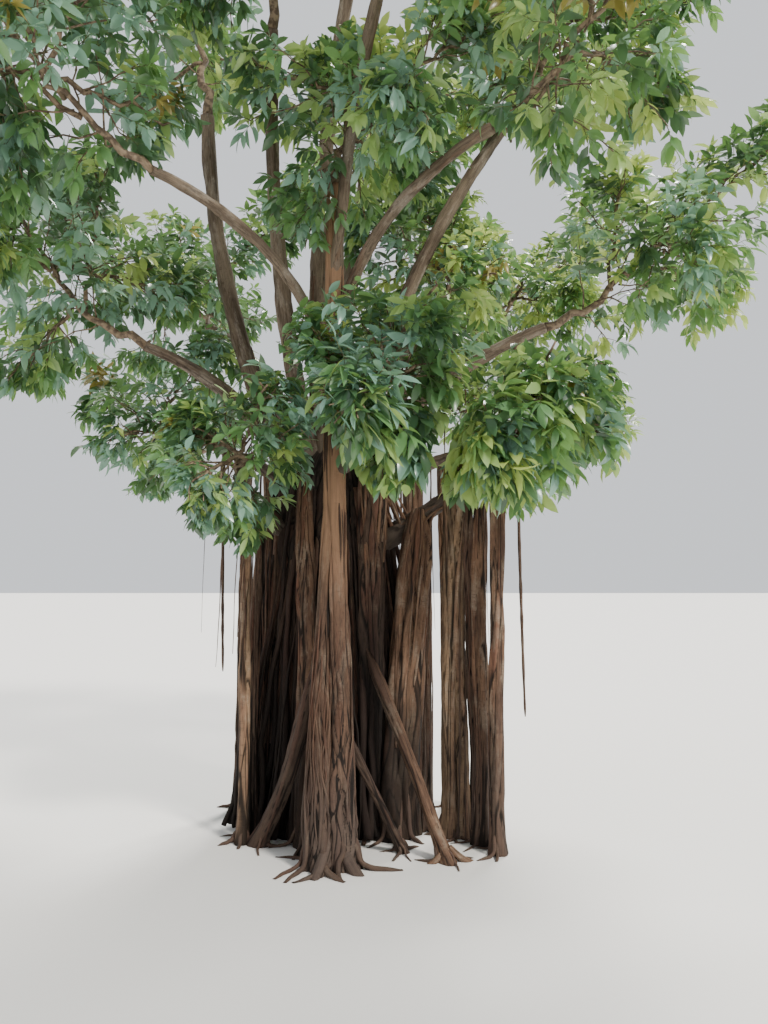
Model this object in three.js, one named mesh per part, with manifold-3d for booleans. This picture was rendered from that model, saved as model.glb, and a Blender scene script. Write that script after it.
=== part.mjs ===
// A banyan: a strangler fig whose stems, pillar roots and prop roots stand round one fluted core, under an
// open, many-stemmed crown. Sizes are in millimetres, +Z is up and -Y is the side that faces the viewer.
// The origin is the middle of the front stem's flat cut at ground level.

import * as THREE from "three";
import { mergeVertices } from "three/addons/utils/BufferGeometryUtils.js";
import Module from "manifold-3d";

const wasm = await Module();
wasm.setup();

// Driving dimensions.
const CLEARANCE = 0.3; // between two pieces that touch
const CUT_MARGIN = 0.35; // how much larger a limb is when it cuts its neighbours
const BURIED = 60; // how far a limb runs below the ground before the ground cuts it flat
const MERGE = 0.01; // vertices closer than this are one
const LIMB_STEPS = 14; // points along a limb's centre line when room is kept round it
const LEAF_ROOM = 18; // the least room between a leaf or twig and a limb
const SPACE_MARGIN = 0.03; // how much nearer, as a share, a leaf lies to its own mass than to the next
const ENTRY = 0.8; // how deep in a mass's space its bough ends, as a share of the half size
const GOLDEN_ANGLE = Math.PI * (3 - Math.sqrt(5));

const BARK = { color: 0x8a5f43, roughness: 0.85, metalness: 0 };
const SHADED_BARK = { color: 0x4e3427, roughness: 0.9, metalness: 0 };
const GREY_BARK = { color: 0x7d6a58, roughness: 0.88, metalness: 0 };
const LEAF = { color: 0x2f6232, roughness: 0.45, metalness: 0 };

const v3 = (p) => new THREE.Vector3(...p);
const mix = (a, b, t) => a + (b - a) * t;

// The same even numbers from 0 to 1 on every run.
function seeded(seed) {
  let state = seed >>> 0;
  return () => {
    state = (Math.imul(1664525, state) + 1013904223) >>> 0;
    return state / 4294967296;
  };
}

// A limb's centre line is one bow: it runs from `from` to `to`, and `bow` pushes its middle aside.
function centreLine(limb) {
  const from = v3(limb.from);
  const to = v3(limb.to);
  const middle = from.clone().lerp(to, 0.5).add(v3(limb.bow ?? [0, 0, 0]));
  return new THREE.QuadraticBezierCurve3(from, middle, to);
}

// The radius at the share t of a limb, `down` millimetres from its foot.
function radiusAt(limb, t, down) {
  const flare = (limb.flare ?? 0) * Math.exp(-down / (limb.flareHeight ?? 150));
  const dome = limb.dome ? Math.sqrt(1 - Math.max(0, (t - 0.86) / 0.155) ** 2) : 1;
  return (mix(limb.root, limb.tip, t ** (limb.power ?? 1)) + flare) * dome;
}

// The direction square to the plane that a centre line bends in. A straight one takes the X axis, or Y if it
// lies along X.
function squareToBend({ v0, v1, v2 }) {
  const chord = v2.clone().sub(v0);
  const square = v1.clone().sub(v0).cross(chord);
  if (square.length() > chord.lengthSq() * 1e-4) return square.normalize();
  const axis = Math.abs(chord.x) < 0.7 * chord.length() ? v3([1, 0, 0]) : v3([0, 1, 0]);
  return axis.projectOnPlane(chord.normalize()).normalize();
}

// The two directions across a limb at the share t, which never spin along it.
function sectionAxes(curve, t) {
  const tangent = curve.getTangent(t);
  const first = squareToBend(curve);
  return [first, new THREE.Vector3().crossVectors(tangent, first).normalize()];
}

// A lathe turned to the limb's radii, then bent along its centre line. `extra` makes it that much larger.
function limbGeometry(limb, extra = 0) {
  const rings = limb.rings ?? 5;
  const sides = limb.sides ?? 6;
  const curve = centreLine(limb);
  const length = curve.getLength();
  const profile = [new THREE.Vector2(0, 0)];
  for (let i = 0; i <= rings; i++) {
    const t = i / rings;
    profile.push(new THREE.Vector2(radiusAt(limb, t, t * length) + extra, t));
  }
  profile.push(new THREE.Vector2(0, 1));
  const geometry = new THREE.LatheGeometry(profile, sides);
  const position = geometry.getAttribute("position");
  const point = new THREE.Vector3();
  for (let k = 0; k < position.count; k++) {
    point.fromBufferAttribute(position, k);
    const t = point.y;
    const tangent = curve.getTangent(t);
    const [first, second] = sectionAxes(curve, t);
    const around = Math.atan2(point.z, point.x);
    const fade = limb.lobesFade ? 1 - 0.7 * t : 1;
    const wave = Math.cos((limb.lobes ?? 0) * around + (limb.lobeTurn ?? 0));
    const lobe = 1 + (limb.lobeDepth ?? 0) * fade * wave;
    const centre = curve.getPoint(t).addScaledVector(tangent, t > 0.5 ? extra : -extra);
    centre.addScaledVector(first, point.x * lobe);
    centre.addScaledVector(second, point.z * lobe * (limb.flat ?? 1));
    position.setXYZ(k, centre.x, centre.y, centre.z);
  }
  return geometry;
}

// A closed mesh as a solid, turned the right way round.
function solidOf(geometry) {
  const bare = geometry.clone();
  bare.deleteAttribute("normal");
  bare.deleteAttribute("uv");
  const merged = mergeVertices(bare, MERGE);
  const corners = [];
  const index = merged.index.array;
  for (let k = 0; k < index.length; k += 3) {
    const [a, b, c] = index.subarray(k, k + 3);
    if (a !== b && b !== c && c !== a) corners.push(a, b, c);
  }
  const made = (order) =>
    new wasm.Manifold(
      new wasm.Mesh({
        numProp: 3,
        vertProperties: merged.attributes.position.array,
        triVerts: new Uint32Array(order),
      }),
    );
  const solid = made(corners);
  if (solid.volume() > 0) return solid;
  return made(corners.reverse());
}

const union = (solids) => solids.reduce((whole, solid) => whole.add(solid));

// The largest body of a solid: scraps are dropped and sealed hollows are filled.
function largestBody(solid) {
  return solid.decompose().sort((a, b) => b.volume() - a.volume())[0];
}

// Whether every edge of a solid still joins two faces once its corners are rounded to a micrometre.
function isSound(solid) {
  const { numProp, vertProperties, triVerts } = solid.getMesh();
  const ids = new Map();
  const idOf = (k) => {
    const key = [0, 1, 2].map((i) => Math.round(vertProperties[k * numProp + i] * 1000)).join();
    if (!ids.has(key)) ids.set(key, ids.size);
    return ids.get(key);
  };
  const uses = new Map();
  for (let k = 0; k < triVerts.length; k += 3) {
    const face = [...triVerts.subarray(k, k + 3)].map(idOf);
    if (new Set(face).size < 3) continue;
    face.forEach((a, i) => {
      const edge = [a, face[(i + 1) % 3]].sort((x, y) => x - y).join();
      uses.set(edge, (uses.get(edge) ?? 0) + 1);
    });
  }
  return [...uses.values()].every((count) => count === 2);
}

// Roots that run out of a foot and dive into the ground, spread evenly round it.
function toes(foot, { count, first, reach, height, thickness }) {
  const made = [];
  for (let k = 0; k < count; k++) {
    const around = THREE.MathUtils.degToRad(first + (360 * k) / count);
    const out = [Math.cos(around), Math.sin(around)];
    const run = reach * (k % 2 ? 0.82 : 1);
    made.push({
      from: [foot[0] + out[0] * thickness * 0.4, foot[1] + out[1] * thickness * 0.4, height],
      to: [foot[0] + out[0] * run, foot[1] + out[1] * run, -thickness * 0.55],
      bow: [-out[0] * run * 0.16, -out[1] * run * 0.16, -height * 0.2],
      root: thickness * 0.8,
      tip: thickness * 0.62,
      sides: 5,
      rings: 2,
    });
  }
  return made;
}

// The trunk: stems and feet of the tree. Each entry is a node, of one limb or of several grown together.
const FRONT_FOOT = [0, 0];
const CORE_FOOT = [-60, 820];
const CORE_TOP = 2600;

const trunk = {
  // The front stem: a smooth pole above, two ribs with a furrow between them below.
  trunk_front: {
    finish: BARK,
    limbs: [
      {
        from: [48, 0, 0], to: [-8, 20, 4150], bow: [-38, 0, -300], root: 88, tip: 52,
        flare: 40, flareHeight: 190, sides: 9, rings: 8,
      },
      {
        from: [-78, -12, 0], to: [-16, 8, 2150], bow: [-38, -4, 0], root: 80, tip: 44,
        flare: 34, flareHeight: 190, sides: 8, rings: 6,
      },
      ...toes(FRONT_FOOT, { count: 5, first: 318, reach: 232, height: 240, thickness: 52 }),
    ],
  },
  // The core: the shaded mass of old roots that everything else stands round.
  trunk_core: {
    finish: SHADED_BARK,
    limbs: [
      {
        from: [...CORE_FOOT, 0], to: [-80, 830, CORE_TOP], root: 480, tip: 350, flare: 90, flareHeight: 220,
        flat: 0.6, lobes: 7, lobeDepth: 0.13, lobeTurn: 1.2, lobesFade: true, dome: true, sides: 21, rings: 9,
      },
      ...toes(CORE_FOOT, { count: 6, first: 20, reach: 700, height: 380, thickness: 110 }),
    ],
  },
  stem_left: {
    finish: BARK,
    limbs: [
      {
        from: [-178, 360, 0], to: [-236, 590, 2420], bow: [6, -50, 0], root: 64, tip: 50,
        flare: 40, dome: true, sides: 8, rings: 7,
      },
    ],
  },
  stem_middle: {
    finish: SHADED_BARK,
    limbs: [
      {
        from: [215, 600, 0], to: [225, 600, 2520], bow: [10, -130, 100], root: 62, tip: 92,
        flare: 34, dome: true, sides: 9, rings: 7, lobes: 3, lobeDepth: 0.12,
      },
    ],
  },
  stem_right: {
    finish: BARK,
    limbs: [
      {
        from: [372, 610, 0], to: [545, 650, 2150], bow: [-36, -70, 40], root: 116, tip: 88,
        flare: 44, dome: true, sides: 9, rings: 7, lobes: 3, lobeDepth: 0.1, lobeTurn: 2,
      },
    ],
  },
};

// The masses of foliage: `centre` and `half` give the egg-shaped space that each fills, and `bough` the limb
// that carries it: `on` names what the bough grows from, `at` the point where it leaves it, `enter` the side of
// the space that it comes in by, if that isn't the nearest one, and either `bow` or `arch`, the share of its
// sideways run by which it rises first and bends out later.
const masses = [
  {
    name: "low_left", centre: [-450, -240, 2370], half: [700, 590, 600],
    bough: {
      on: "trunk_core", at: [-400, 790, 2000], bow: [-120, 100, 80], enter: [-0.3, 0.9, -0.1],
      root: 58, tip: 34,
    },
  },
  {
    name: "low_middle", centre: [420, -430, 2780], half: [760, 600, 700],
    bough: { on: "trunk_front", at: [-4, 0, 2330], bow: [40, 20, -60], root: 34, tip: 24 },
  },
  {
    name: "low_right", centre: [1040, -370, 2530], half: [690, 590, 560],
    bough: {
      on: "trunk_core", at: [280, 750, 1930], bow: [200, 260, 100], enter: [0.05, 1, -0.1], root: 68, tip: 42,
    },
  },
  {
    name: "low_back_right", centre: [1560, 1680, 3020], half: [1030, 940, 760],
    bough: { on: "trunk_core", at: [180, 950, 2200], bow: [0, 60, 160], root: 60, tip: 34 },
  },
  {
    name: "low_back_left", centre: [-1440, 1560, 3040], half: [1030, 940, 760],
    bough: { on: "trunk_core", at: [-300, 950, 2200], bow: [0, 60, 160], root: 60, tip: 34 },
  },
  {
    name: "left", centre: [-1960, 300, 3890], half: [1200, 1130, 1080],
    bough: { on: "trunk_core", at: [-330, 840, 2260], arch: 0.24, root: 62, tip: 36 },
  },
  {
    name: "right", centre: [2150, 480, 4000], half: [1240, 1130, 1080],
    bough: { on: "trunk_core", at: [90, 760, 2360], arch: 0.16, root: 64, tip: 38 },
  },
  {
    name: "front_left", centre: [-1400, -1200, 4300], half: [1080, 1020, 900],
    bough: { on: "trunk_front", at: [-6, 10, 2860], arch: 0.3, root: 38, tip: 26 },
  },
  {
    name: "front_right", centre: [1350, -1280, 4520], half: [1130, 1020, 940],
    bough: { on: "trunk_front", at: [-8, 10, 3120], arch: 0.3, root: 38, tip: 26 },
  },
  {
    name: "front_upper", centre: [260, -260, 4500], half: [1080, 940, 900],
    bough: null,
  },
  {
    name: "centre", centre: [830, 1160, 4140], half: [1010, 980, 880],
    bough: { on: "trunk_core", at: [60, 900, 2400], arch: 0.22, root: 54, tip: 34 },
  },
  {
    name: "back_left", centre: [-1550, 2350, 4500], half: [1260, 1190, 1030],
    bough: { on: "trunk_core", at: [-240, 960, 2340], arch: 0.18, root: 62, tip: 36 },
  },
  {
    name: "back_right", centre: [1560, 2560, 4480], half: [1260, 1190, 1030],
    bough: { on: "trunk_core", at: [80, 980, 2340], arch: 0.18, root: 62, tip: 36 },
  },
  {
    name: "high_left", centre: [-1280, 980, 6120], half: [1240, 1190, 1190],
    bough: { on: "trunk_core", at: [-320, 830, 2320], bow: [-290, 30, -120], root: 74, tip: 46 },
  },
  {
    name: "high_middle", centre: [-480, -300, 5960], half: [1110, 1090, 1040],
    bough: { on: "trunk_core", at: [-190, 790, 2420], bow: [-240, 260, 100], root: 66, tip: 40 },
  },
  {
    name: "high_right", centre: [1560, 620, 5820], half: [1300, 1230, 1190],
    bough: { on: "trunk_core", at: [60, 840, 2440], arch: 0.2, root: 70, tip: 40 },
  },
  {
    name: "high_back", centre: [120, 2240, 5920], half: [1300, 1230, 1150],
    bough: { on: "trunk_core", at: [-60, 960, 2420], arch: 0.18, root: 66, tip: 38 },
  },
  {
    name: "high_front", centre: [620, -1480, 5980], half: [1190, 1110, 1050],
    bough: { on: "trunk_front", at: [-8, 16, 3520], arch: 0.3, root: 36, tip: 26 },
  },
  {
    name: "top", centre: [120, 700, 7230], half: [1420, 1340, 1200],
    bough: { on: "trunk_core", at: [-130, 800, 2420], bow: [-260, 40, 0], root: 78, tip: 46 },
  },
];

// How far a point lies out in a mass's space: 0 at the centre and 1 at the edge.
const spread = (mass, p) => Math.hypot(...mass.centre.map((c, k) => (p.getComponent(k) - c) / mass.half[k]));

function inOwnSpace(mass, p) {
  const own = spread(mass, p);
  return own < 1 && masses.every((other) => other === mass || own < spread(other, p) - SPACE_MARGIN);
}

const boughs = {};
for (const mass of masses) {
  if (!mass.bough) continue;
  const { at, arch, root, tip, enter } = mass.bough;
  const start = v3(at);
  const centre = v3(mass.centre);
  const to = enter
    ? v3(enter).multiplyScalar(ENTRY).multiply(v3(mass.half)).add(centre)
    : centre.clone().lerp(start, ENTRY / spread(mass, start));
  const [run, depth] = [to.x - start.x, to.y - start.y];
  const bow = mass.bough.bow ?? [-arch * run, -arch * depth, arch * Math.hypot(run, depth)];
  const limb = { from: at, to: to.toArray(), bow, root, tip, power: 0.8 };
  boughs["bough_" + mass.name] = { finish: GREY_BARK, limbs: [limb] };
}

// The point of a bough right above a pillar's place, and how high it is there.
function above(name, share) {
  return centreLine(boughs[name].limbs[0]).getPoint(share);
}

// A pillar root drops from a bough to the ground, a little aside of the point where it leaves it.
function pillar(bough, share, { aside = [0, 0], root, tip, lobes = 0, flare = 30, twin = 0, finish = BARK }) {
  const top = above(bough, share);
  const one = (shift) => ({
    from: [top.x + aside[0] + shift, top.y + aside[1], 0],
    to: [top.x + shift * 0.5, top.y, top.z],
    bow: [aside[0] * 0.25, aside[1] * 0.25, 0],
    root, tip, flare, flareHeight: 110, lobes, lobeDepth: lobes ? 0.12 : 0, sides: lobes ? 9 : 6, rings: 4,
  });
  return { finish, limbs: twin ? [one(-twin), one(twin)] : [one(0)] };
}

const pillars = {
  pillar_left_outer: pillar("bough_low_left", 0.66, { aside: [-10, -10], root: 28, tip: 24 }),
  pillar_left_inner: pillar("bough_low_left", 0.4, {
    aside: [-40, -40], root: 34, tip: 28, finish: SHADED_BARK,
  }),
  pillar_right_inner: pillar("bough_low_right", 0.26, { aside: [-10, 60], root: 60, tip: 46, lobes: 3 }),
  pillar_right_lit: pillar("bough_low_right", 0.5, { aside: [-10, 10], root: 48, tip: 56, twin: 44 }),
  pillar_right_slim: pillar("bough_low_right", 0.62, {
    aside: [20, 100], root: 22, tip: 20, finish: SHADED_BARK,
  }),
  pillar_right_outer: pillar("bough_low_right", 0.73, { aside: [-10, 10], root: 44, tip: 38, lobes: 3 }),
  pillar_right_last: pillar("bough_low_right", 0.89, { aside: [-30, 0], root: 42, tip: 36 }),
  pillar_back_left: pillar("bough_low_back_left", 0.42, { aside: [20, 30], root: 56, tip: 44, lobes: 3 }),
  pillar_back_left_far: pillar("bough_low_back_left", 0.72, { aside: [-30, 20], root: 38, tip: 32 }),
  pillar_back_right: pillar("bough_low_back_right", 0.42, { aside: [10, 40], root: 58, tip: 46, twin: 40 }),
  pillar_back_right_far: pillar("bough_low_back_right", 0.72, { aside: [30, 10], root: 40, tip: 34 }),
  pillar_back: pillar("bough_back_left", 0.2, { aside: [40, 60], root: 62, tip: 50, lobes: 3 }),
};

// Prop roots leave a stem and slope down to the ground.
const props = {
  prop_root_long: {
    finish: BARK,
    limbs: [
      {
        from: [676, 66, 0], to: [206, 480, 1170], bow: [30, -24, -40], root: 40, tip: 32,
        flare: 26, flareHeight: 90,
      },
      ...toes([676, 66], { count: 2, first: 10, reach: 150, height: 90, thickness: 28 }),
    ],
  },
  prop_root_short: {
    finish: SHADED_BARK,
    limbs: [
      {
        from: [414, 244, 0], to: [60, 60, 760], bow: [30, -10, -40], root: 30, tip: 24,
        flare: 22, flareHeight: 70,
      },
    ],
  },
  prop_root_left: {
    finish: BARK,
    limbs: [
      {
        from: [-500, 385, 0], to: [-110, 20, 1120], bow: [60, -50, -140], root: 50, tip: 44,
        flare: 20, flareHeight: 120, sides: 7,
      },
    ],
  },
};

// Hanging roots end in the air, some way above the ground.
function hangingRoot(bough, share, end, thickness) {
  const top = above(bough, share);
  const limb = {
    from: [top.x + 24, top.y - 10, end], to: [top.x, top.y, top.z], bow: [-16, 10, 0],
    root: thickness * 0.6, tip: thickness, sides: 5, rings: 4,
  };
  return { finish: SHADED_BARK, limbs: [limb] };
}

const hangingRoots = {
  hanging_root_right: hangingRoot("bough_right", 0.88, 760, 15),
  hanging_root_left: hangingRoot("bough_left", 0.6, 1050, 14),
};

// Limbs in the order in which they cut each other: a later one is cut clear of every earlier one.
const limbNodes = { ...trunk, ...boughs, ...pillars, ...props, ...hangingRoots };

// A foot at the ground is grown on down, so that the ground cuts it flat.
function buried(limb) {
  if (limb.from[2] !== 0) return limb;
  const curve = centreLine(limb);
  const down = curve.getTangent(0).multiplyScalar(-BURIED / Math.max(0.3, curve.getTangent(0).z));
  return { ...limb, from: curve.getPoint(0).add(down).toArray() };
}

function limbSolid(limbs, extra) {
  return union(limbs.map((limb) => solidOf(limbGeometry(buried(limb), extra)))).trimByPlane([0, 0, 1], 0);
}

const boxesMeet = (a, b) => [0, 1, 2].every((k) => a.min[k] < b.max[k] && b.min[k] < a.max[k]);

const placed = [];
for (const [name, node] of Object.entries(limbNodes)) {
  let solid = limbSolid(node.limbs, 0);
  const box = solid.boundingBox();
  for (const other of placed) if (boxesMeet(box, other.box)) solid = solid.subtract(other.cutter);
  const cutter = limbSolid(node.limbs, CUT_MARGIN);
  placed.push({ name, finish: node.finish, solid: largestBody(solid), cutter, box: cutter.boundingBox() });
}

// The limbs again as chains of short straight pieces, for keeping leaves clear of them.
const chains = Object.values(limbNodes).flatMap((node) =>
  node.limbs.map((limb) => {
    const curve = centreLine(limb);
    const length = curve.getLength();
    const shares = Array.from({ length: LIMB_STEPS + 1 }, (_, k) => k / LIMB_STEPS);
    const wide = 1 + (limb.lobeDepth ?? 0);
    return {
      points: shares.map((share) => curve.getPoint(share)),
      radii: shares.map((share) => radiusAt(limb, share, share * length) * wide),
    };
  }),
);

// The least distance between two straight pieces.
function apart(a, b, c, d) {
  const u = b.clone().sub(a);
  const v = d.clone().sub(c);
  const w = a.clone().sub(c);
  const [uu, uv, vv, uw, vw] = [u.dot(u), u.dot(v), v.dot(v), u.dot(w), v.dot(w)];
  const cross = uu * vv - uv * uv;
  const clamp = (x) => Math.min(1, Math.max(0, x));
  const s = cross > 1e-9 ? clamp((uv * vw - vv * uw) / cross) : 0;
  const t = clamp((uv * s + vw) / Math.max(vv, 1e-9));
  const again = clamp((uv * t - uw) / Math.max(uu, 1e-9));
  return a.clone().addScaledVector(u, again).distanceTo(c.clone().addScaledVector(v, t));
}

// Whether any edge in a list of [from, to, thickness] comes too near a limb.
function touchesLimb(edges) {
  return chains.some(({ points, radii }) =>
    edges.some(([a, b, thickness]) =>
      radii.some(
        (radius, k) =>
          k < LIMB_STEPS &&
          apart(a, b, points[k], points[k + 1]) < Math.max(radius, radii[k + 1]) + thickness + LEAF_ROOM,
      ),
    ),
  );
}

// Foliage: how a mass branches. Twigs leave the stem and reach out evenly towards the edge of the space, and
// each carries a rosette of leaves, one of which stands for a whole spray.
const LEAST_TWIGS = 3;
const TWIGS_PER_METRE = 2.8; // more of them for each metre of the mass's mean half size
const LEAVES_ON_TWIG = 4;
const LEAF_TRIES = 8; // turns round the twig that a leaf is tried at before it is left off
const STEM_RADIUS = 0.9; // of the bough's tip
const TWIG_RADIUS = 16;
const LEAF_LENGTH = 0.7; // of the mass's mean half size
const LEAF_WIDTH = 0.66; // of its length
const LEAF_THICKNESS = 0.03; // of its length

// A three-sided twig that runs out to a point.
function twigSolid(line) {
  const profile = [[0, 0], [TWIG_RADIUS, 0], [TWIG_RADIUS * 0.8, 0.55], [0, 1]];
  const geometry = new THREE.LatheGeometry(profile.map((p) => new THREE.Vector2(...p)), 3);
  const position = geometry.getAttribute("position");
  for (let k = 0; k < position.count; k++) {
    const t = position.getY(k);
    const [first, second] = sectionAxes(line, t);
    const p = line.getPoint(t);
    p.addScaledVector(first, position.getX(k));
    p.addScaledVector(second, position.getZ(k));
    position.setXYZ(k, p.x, p.y, p.z);
  }
  return solidOf(geometry);
}

// A leaf is an eight-sided blade between its base, its tip, two edge corners and a low ridge on either face.
function leafBlade(base, along, across, length) {
  const up = new THREE.Vector3().crossVectors(along, across).multiplyScalar((length * LEAF_THICKNESS) / 2);
  const broadest = base.clone().addScaledVector(along, length * 0.45);
  return {
    base,
    tip: base.clone().addScaledVector(along, length),
    left: broadest.clone().addScaledVector(across, (-length * LEAF_WIDTH) / 2),
    right: broadest.clone().addScaledVector(across, (length * LEAF_WIDTH) / 2),
    top: broadest.clone().add(up),
    under: broadest.clone().sub(up),
  };
}

function leafSolid({ base, tip, left, right, top, under }) {
  const geometry = new THREE.BufferGeometry().setFromPoints([base, tip, left, right, top, under]);
  geometry.setIndex([0, 4, 2, 2, 4, 1, 1, 4, 3, 3, 4, 0, 0, 2, 5, 2, 1, 5, 1, 3, 5, 3, 0, 5]);
  return solidOf(geometry);
}

function leafFits(mass, { base, tip, left, right }) {
  const rim = [tip, left, right, tip.clone().lerp(left, 0.5), tip.clone().lerp(right, 0.5)];
  if (!rim.every((p) => inOwnSpace(mass, p))) return false;
  const thick = LEAF_ROOM / 4;
  const spine = [base.clone().lerp(tip, 0.15), tip];
  const edges = [spine, [left, right], [base, left], [left, tip], [tip, right], [right, base]];
  return !touchesLimb(edges.map(([a, b]) => [a, b, thick]));
}

// The bough's tip, the direction in which it ends, and its radius there.
function carrierEnd(mass) {
  const limb = mass.bough ? boughs["bough_" + mass.name].limbs[0] : trunk.trunk_front.limbs[0];
  return { end: v3(limb.to), direction: centreLine(limb).getTangent(1), radius: limb.tip };
}

const meanHalf = (mass) => (mass.half[0] + mass.half[1] + mass.half[2]) / 3;
const twigCount = (mass) => Math.round(LEAST_TWIGS + (TWIGS_PER_METRE * meanHalf(mass)) / 1000);

// Even directions over a sphere, numbered from the bottom up.
function evenDirection(k, count, turn) {
  const z = 1 - (2 * (count - k - 0.5)) / count;
  const around = turn + k * GOLDEN_ANGLE;
  const flat = Math.sqrt(1 - z * z);
  return new THREE.Vector3(flat * Math.cos(around), flat * Math.sin(around), z);
}

// The stem of a mass and the twigs that leave it. A twig that would leave the space or touch a limb is
// skipped.
function skeleton(mass, seed) {
  const random = seeded(seed);
  const centre = v3(mass.centre);
  const half = v3(mass.half);
  const { end, direction, radius } = carrierEnd(mass);
  const foot = end.clone().addScaledVector(direction, CLEARANCE);
  const hub = centre.clone().lerp(foot, -0.2);
  const ahead = end.clone().addScaledVector(direction, foot.distanceTo(hub) / 2);
  const bow = ahead.sub(foot.clone().lerp(hub, 0.5));
  const stem = {
    from: foot.toArray(), to: hub.toArray(), bow: bow.toArray(), root: radius * STEM_RADIUS, tip: TWIG_RADIUS,
    sides: 3, rings: 3,
  };
  const stemCurve = centreLine(stem);
  const turn = random() * Math.PI * 2;
  const count = twigCount(mass);
  const twigs = [];
  for (let k = 0; k < count; k++) {
    const outward = evenDirection(k, count, turn);
    const start = stemCurve.getPoint(mix(0.35, 1, random()));
    const tip = centre.clone().add(outward.clone().multiply(half).multiplyScalar(mix(0.74, 0.9, random())));
    const rise = new THREE.Vector3(0, 0, tip.distanceTo(start) * mix(0.02, 0.12, random()));
    const line = new THREE.QuadraticBezierCurve3(start, start.clone().lerp(tip, 0.5).add(rise), tip);
    const marks = [0.12, 0.25, 0.5, 0.75, 1].map((t) => line.getPoint(t));
    const pieces = marks.slice(1).map((mark, i) => [marks[i], mark, TWIG_RADIUS]);
    if (pieces.every(([, b]) => inOwnSpace(mass, b)) && !touchesLimb(pieces)) twigs.push({ line, outward });
  }
  return { stem, twigs };
}

// The first leaf blade at the share t of a twig that fits, of those tried at even turns round it.
function fittingBlade(mass, { line, outward }, j, random) {
  const t = mix(0.45, 0.9, j / (LEAVES_ON_TWIG - 1));
  const [first, second] = sectionAxes(line, t);
  const tangent = line.getTangent(t);
  const ahead = j === LEAVES_ON_TWIG - 1 ? 1.6 : 0.45;
  for (let tries = 0; tries < LEAF_TRIES; tries++) {
    const roll = j * GOLDEN_ANGLE + (random() * Math.PI * 2) / 3 + (tries * Math.PI * 2) / LEAF_TRIES;
    const side = first.clone().multiplyScalar(Math.cos(roll)).addScaledVector(second, Math.sin(roll));
    const along = tangent.clone().multiplyScalar(ahead).add(side).normalize();
    const facing = outward.clone().add(evenDirection(1, 2, random() * Math.PI * 2).multiplyScalar(0.5));
    const across = new THREE.Vector3().crossVectors(along, facing).normalize();
    const base = line.getPoint(t).addScaledVector(along, -TWIG_RADIUS * 0.35);
    const blade = leafBlade(base, along, across, meanHalf(mass) * LEAF_LENGTH * mix(0.85, 1.15, random()));
    if (leafFits(mass, blade)) return blade;
  }
  return null;
}

// One mass as a solid: stem, twigs and leaves grown together.
function growMass(mass, seed, leafSeed) {
  const { stem, twigs } = skeleton(mass, seed);
  const random = seeded(leafSeed);
  const solids = [solidOf(limbGeometry(stem))];
  for (const twig of twigs) {
    solids.push(twigSolid(twig.line));
    for (let j = 0; j < LEAVES_ON_TWIG; j++) {
      const blade = fittingBlade(mass, twig, j, random);
      if (blade) solids.push(leafSolid(blade));
    }
  }
  return largestBody(union(solids));
}

// A solid as a named mesh.
function meshOf(name, solid, finish) {
  const { numProp, vertProperties, triVerts } = solid.getMesh();
  const points = new Float32Array((vertProperties.length / numProp) * 3);
  for (let k = 0; k < points.length / 3; k++) {
    points.set(vertProperties.subarray(k * numProp, k * numProp + 3), k * 3);
  }
  const geometry = new THREE.BufferGeometry();
  geometry.setAttribute("position", new THREE.BufferAttribute(points, 3));
  geometry.setIndex(new THREE.BufferAttribute(triVerts, 1));
  geometry.computeVertexNormals();
  const mesh = new THREE.Mesh(geometry, new THREE.MeshStandardMaterial(finish));
  mesh.name = name;
  return mesh;
}

const banyan = new THREE.Group();
const limbsGroup = new THREE.Group();
const foliageGroup = new THREE.Group();
for (const { name, solid, finish } of placed) limbsGroup.add(meshOf(name, solid, finish));
masses.forEach((mass, k) => {
  const seed = 101 + 37 * k;
  let leafSeed = seed;
  let solid = growMass(mass, seed, leafSeed);
  while (!isSound(solid)) solid = growMass(mass, seed, ++leafSeed);
  foliageGroup.add(meshOf("foliage_" + mass.name, solid, LEAF));
});
banyan.add(limbsGroup, foliageGroup);

export default banyan;
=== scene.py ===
"""The banyan's looks: bark with relief over every limb, strands of aerial root, and twigs and leaves that
grow on from the limbs by the rule that the solids follow, carried to finer twigs. Lengths are in metres, +Z
is up and the viewer looks along +Y."""

import math
from dataclasses import dataclass, replace

import bmesh
import bpy
import numpy as np
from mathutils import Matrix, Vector


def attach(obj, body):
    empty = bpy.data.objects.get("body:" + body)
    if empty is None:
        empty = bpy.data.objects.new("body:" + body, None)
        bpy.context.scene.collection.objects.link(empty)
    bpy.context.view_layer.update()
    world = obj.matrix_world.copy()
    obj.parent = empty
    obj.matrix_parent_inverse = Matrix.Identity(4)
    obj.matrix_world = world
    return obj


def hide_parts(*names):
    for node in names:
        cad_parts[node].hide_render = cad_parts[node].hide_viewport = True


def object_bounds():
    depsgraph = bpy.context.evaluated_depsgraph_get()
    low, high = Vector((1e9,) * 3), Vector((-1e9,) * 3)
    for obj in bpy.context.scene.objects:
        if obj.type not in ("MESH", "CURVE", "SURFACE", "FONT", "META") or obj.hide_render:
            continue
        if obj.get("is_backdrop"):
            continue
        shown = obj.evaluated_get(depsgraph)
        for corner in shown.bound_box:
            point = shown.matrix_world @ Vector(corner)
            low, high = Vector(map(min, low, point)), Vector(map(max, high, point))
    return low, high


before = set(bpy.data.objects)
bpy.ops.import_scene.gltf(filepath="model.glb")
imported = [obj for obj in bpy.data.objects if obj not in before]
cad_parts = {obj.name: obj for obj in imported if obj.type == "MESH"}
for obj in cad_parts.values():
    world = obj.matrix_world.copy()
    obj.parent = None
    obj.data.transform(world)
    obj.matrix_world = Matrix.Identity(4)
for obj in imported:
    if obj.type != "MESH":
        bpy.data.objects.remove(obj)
CAD_LOW, CAD_HIGH = (np.array(corner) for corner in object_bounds())


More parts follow.
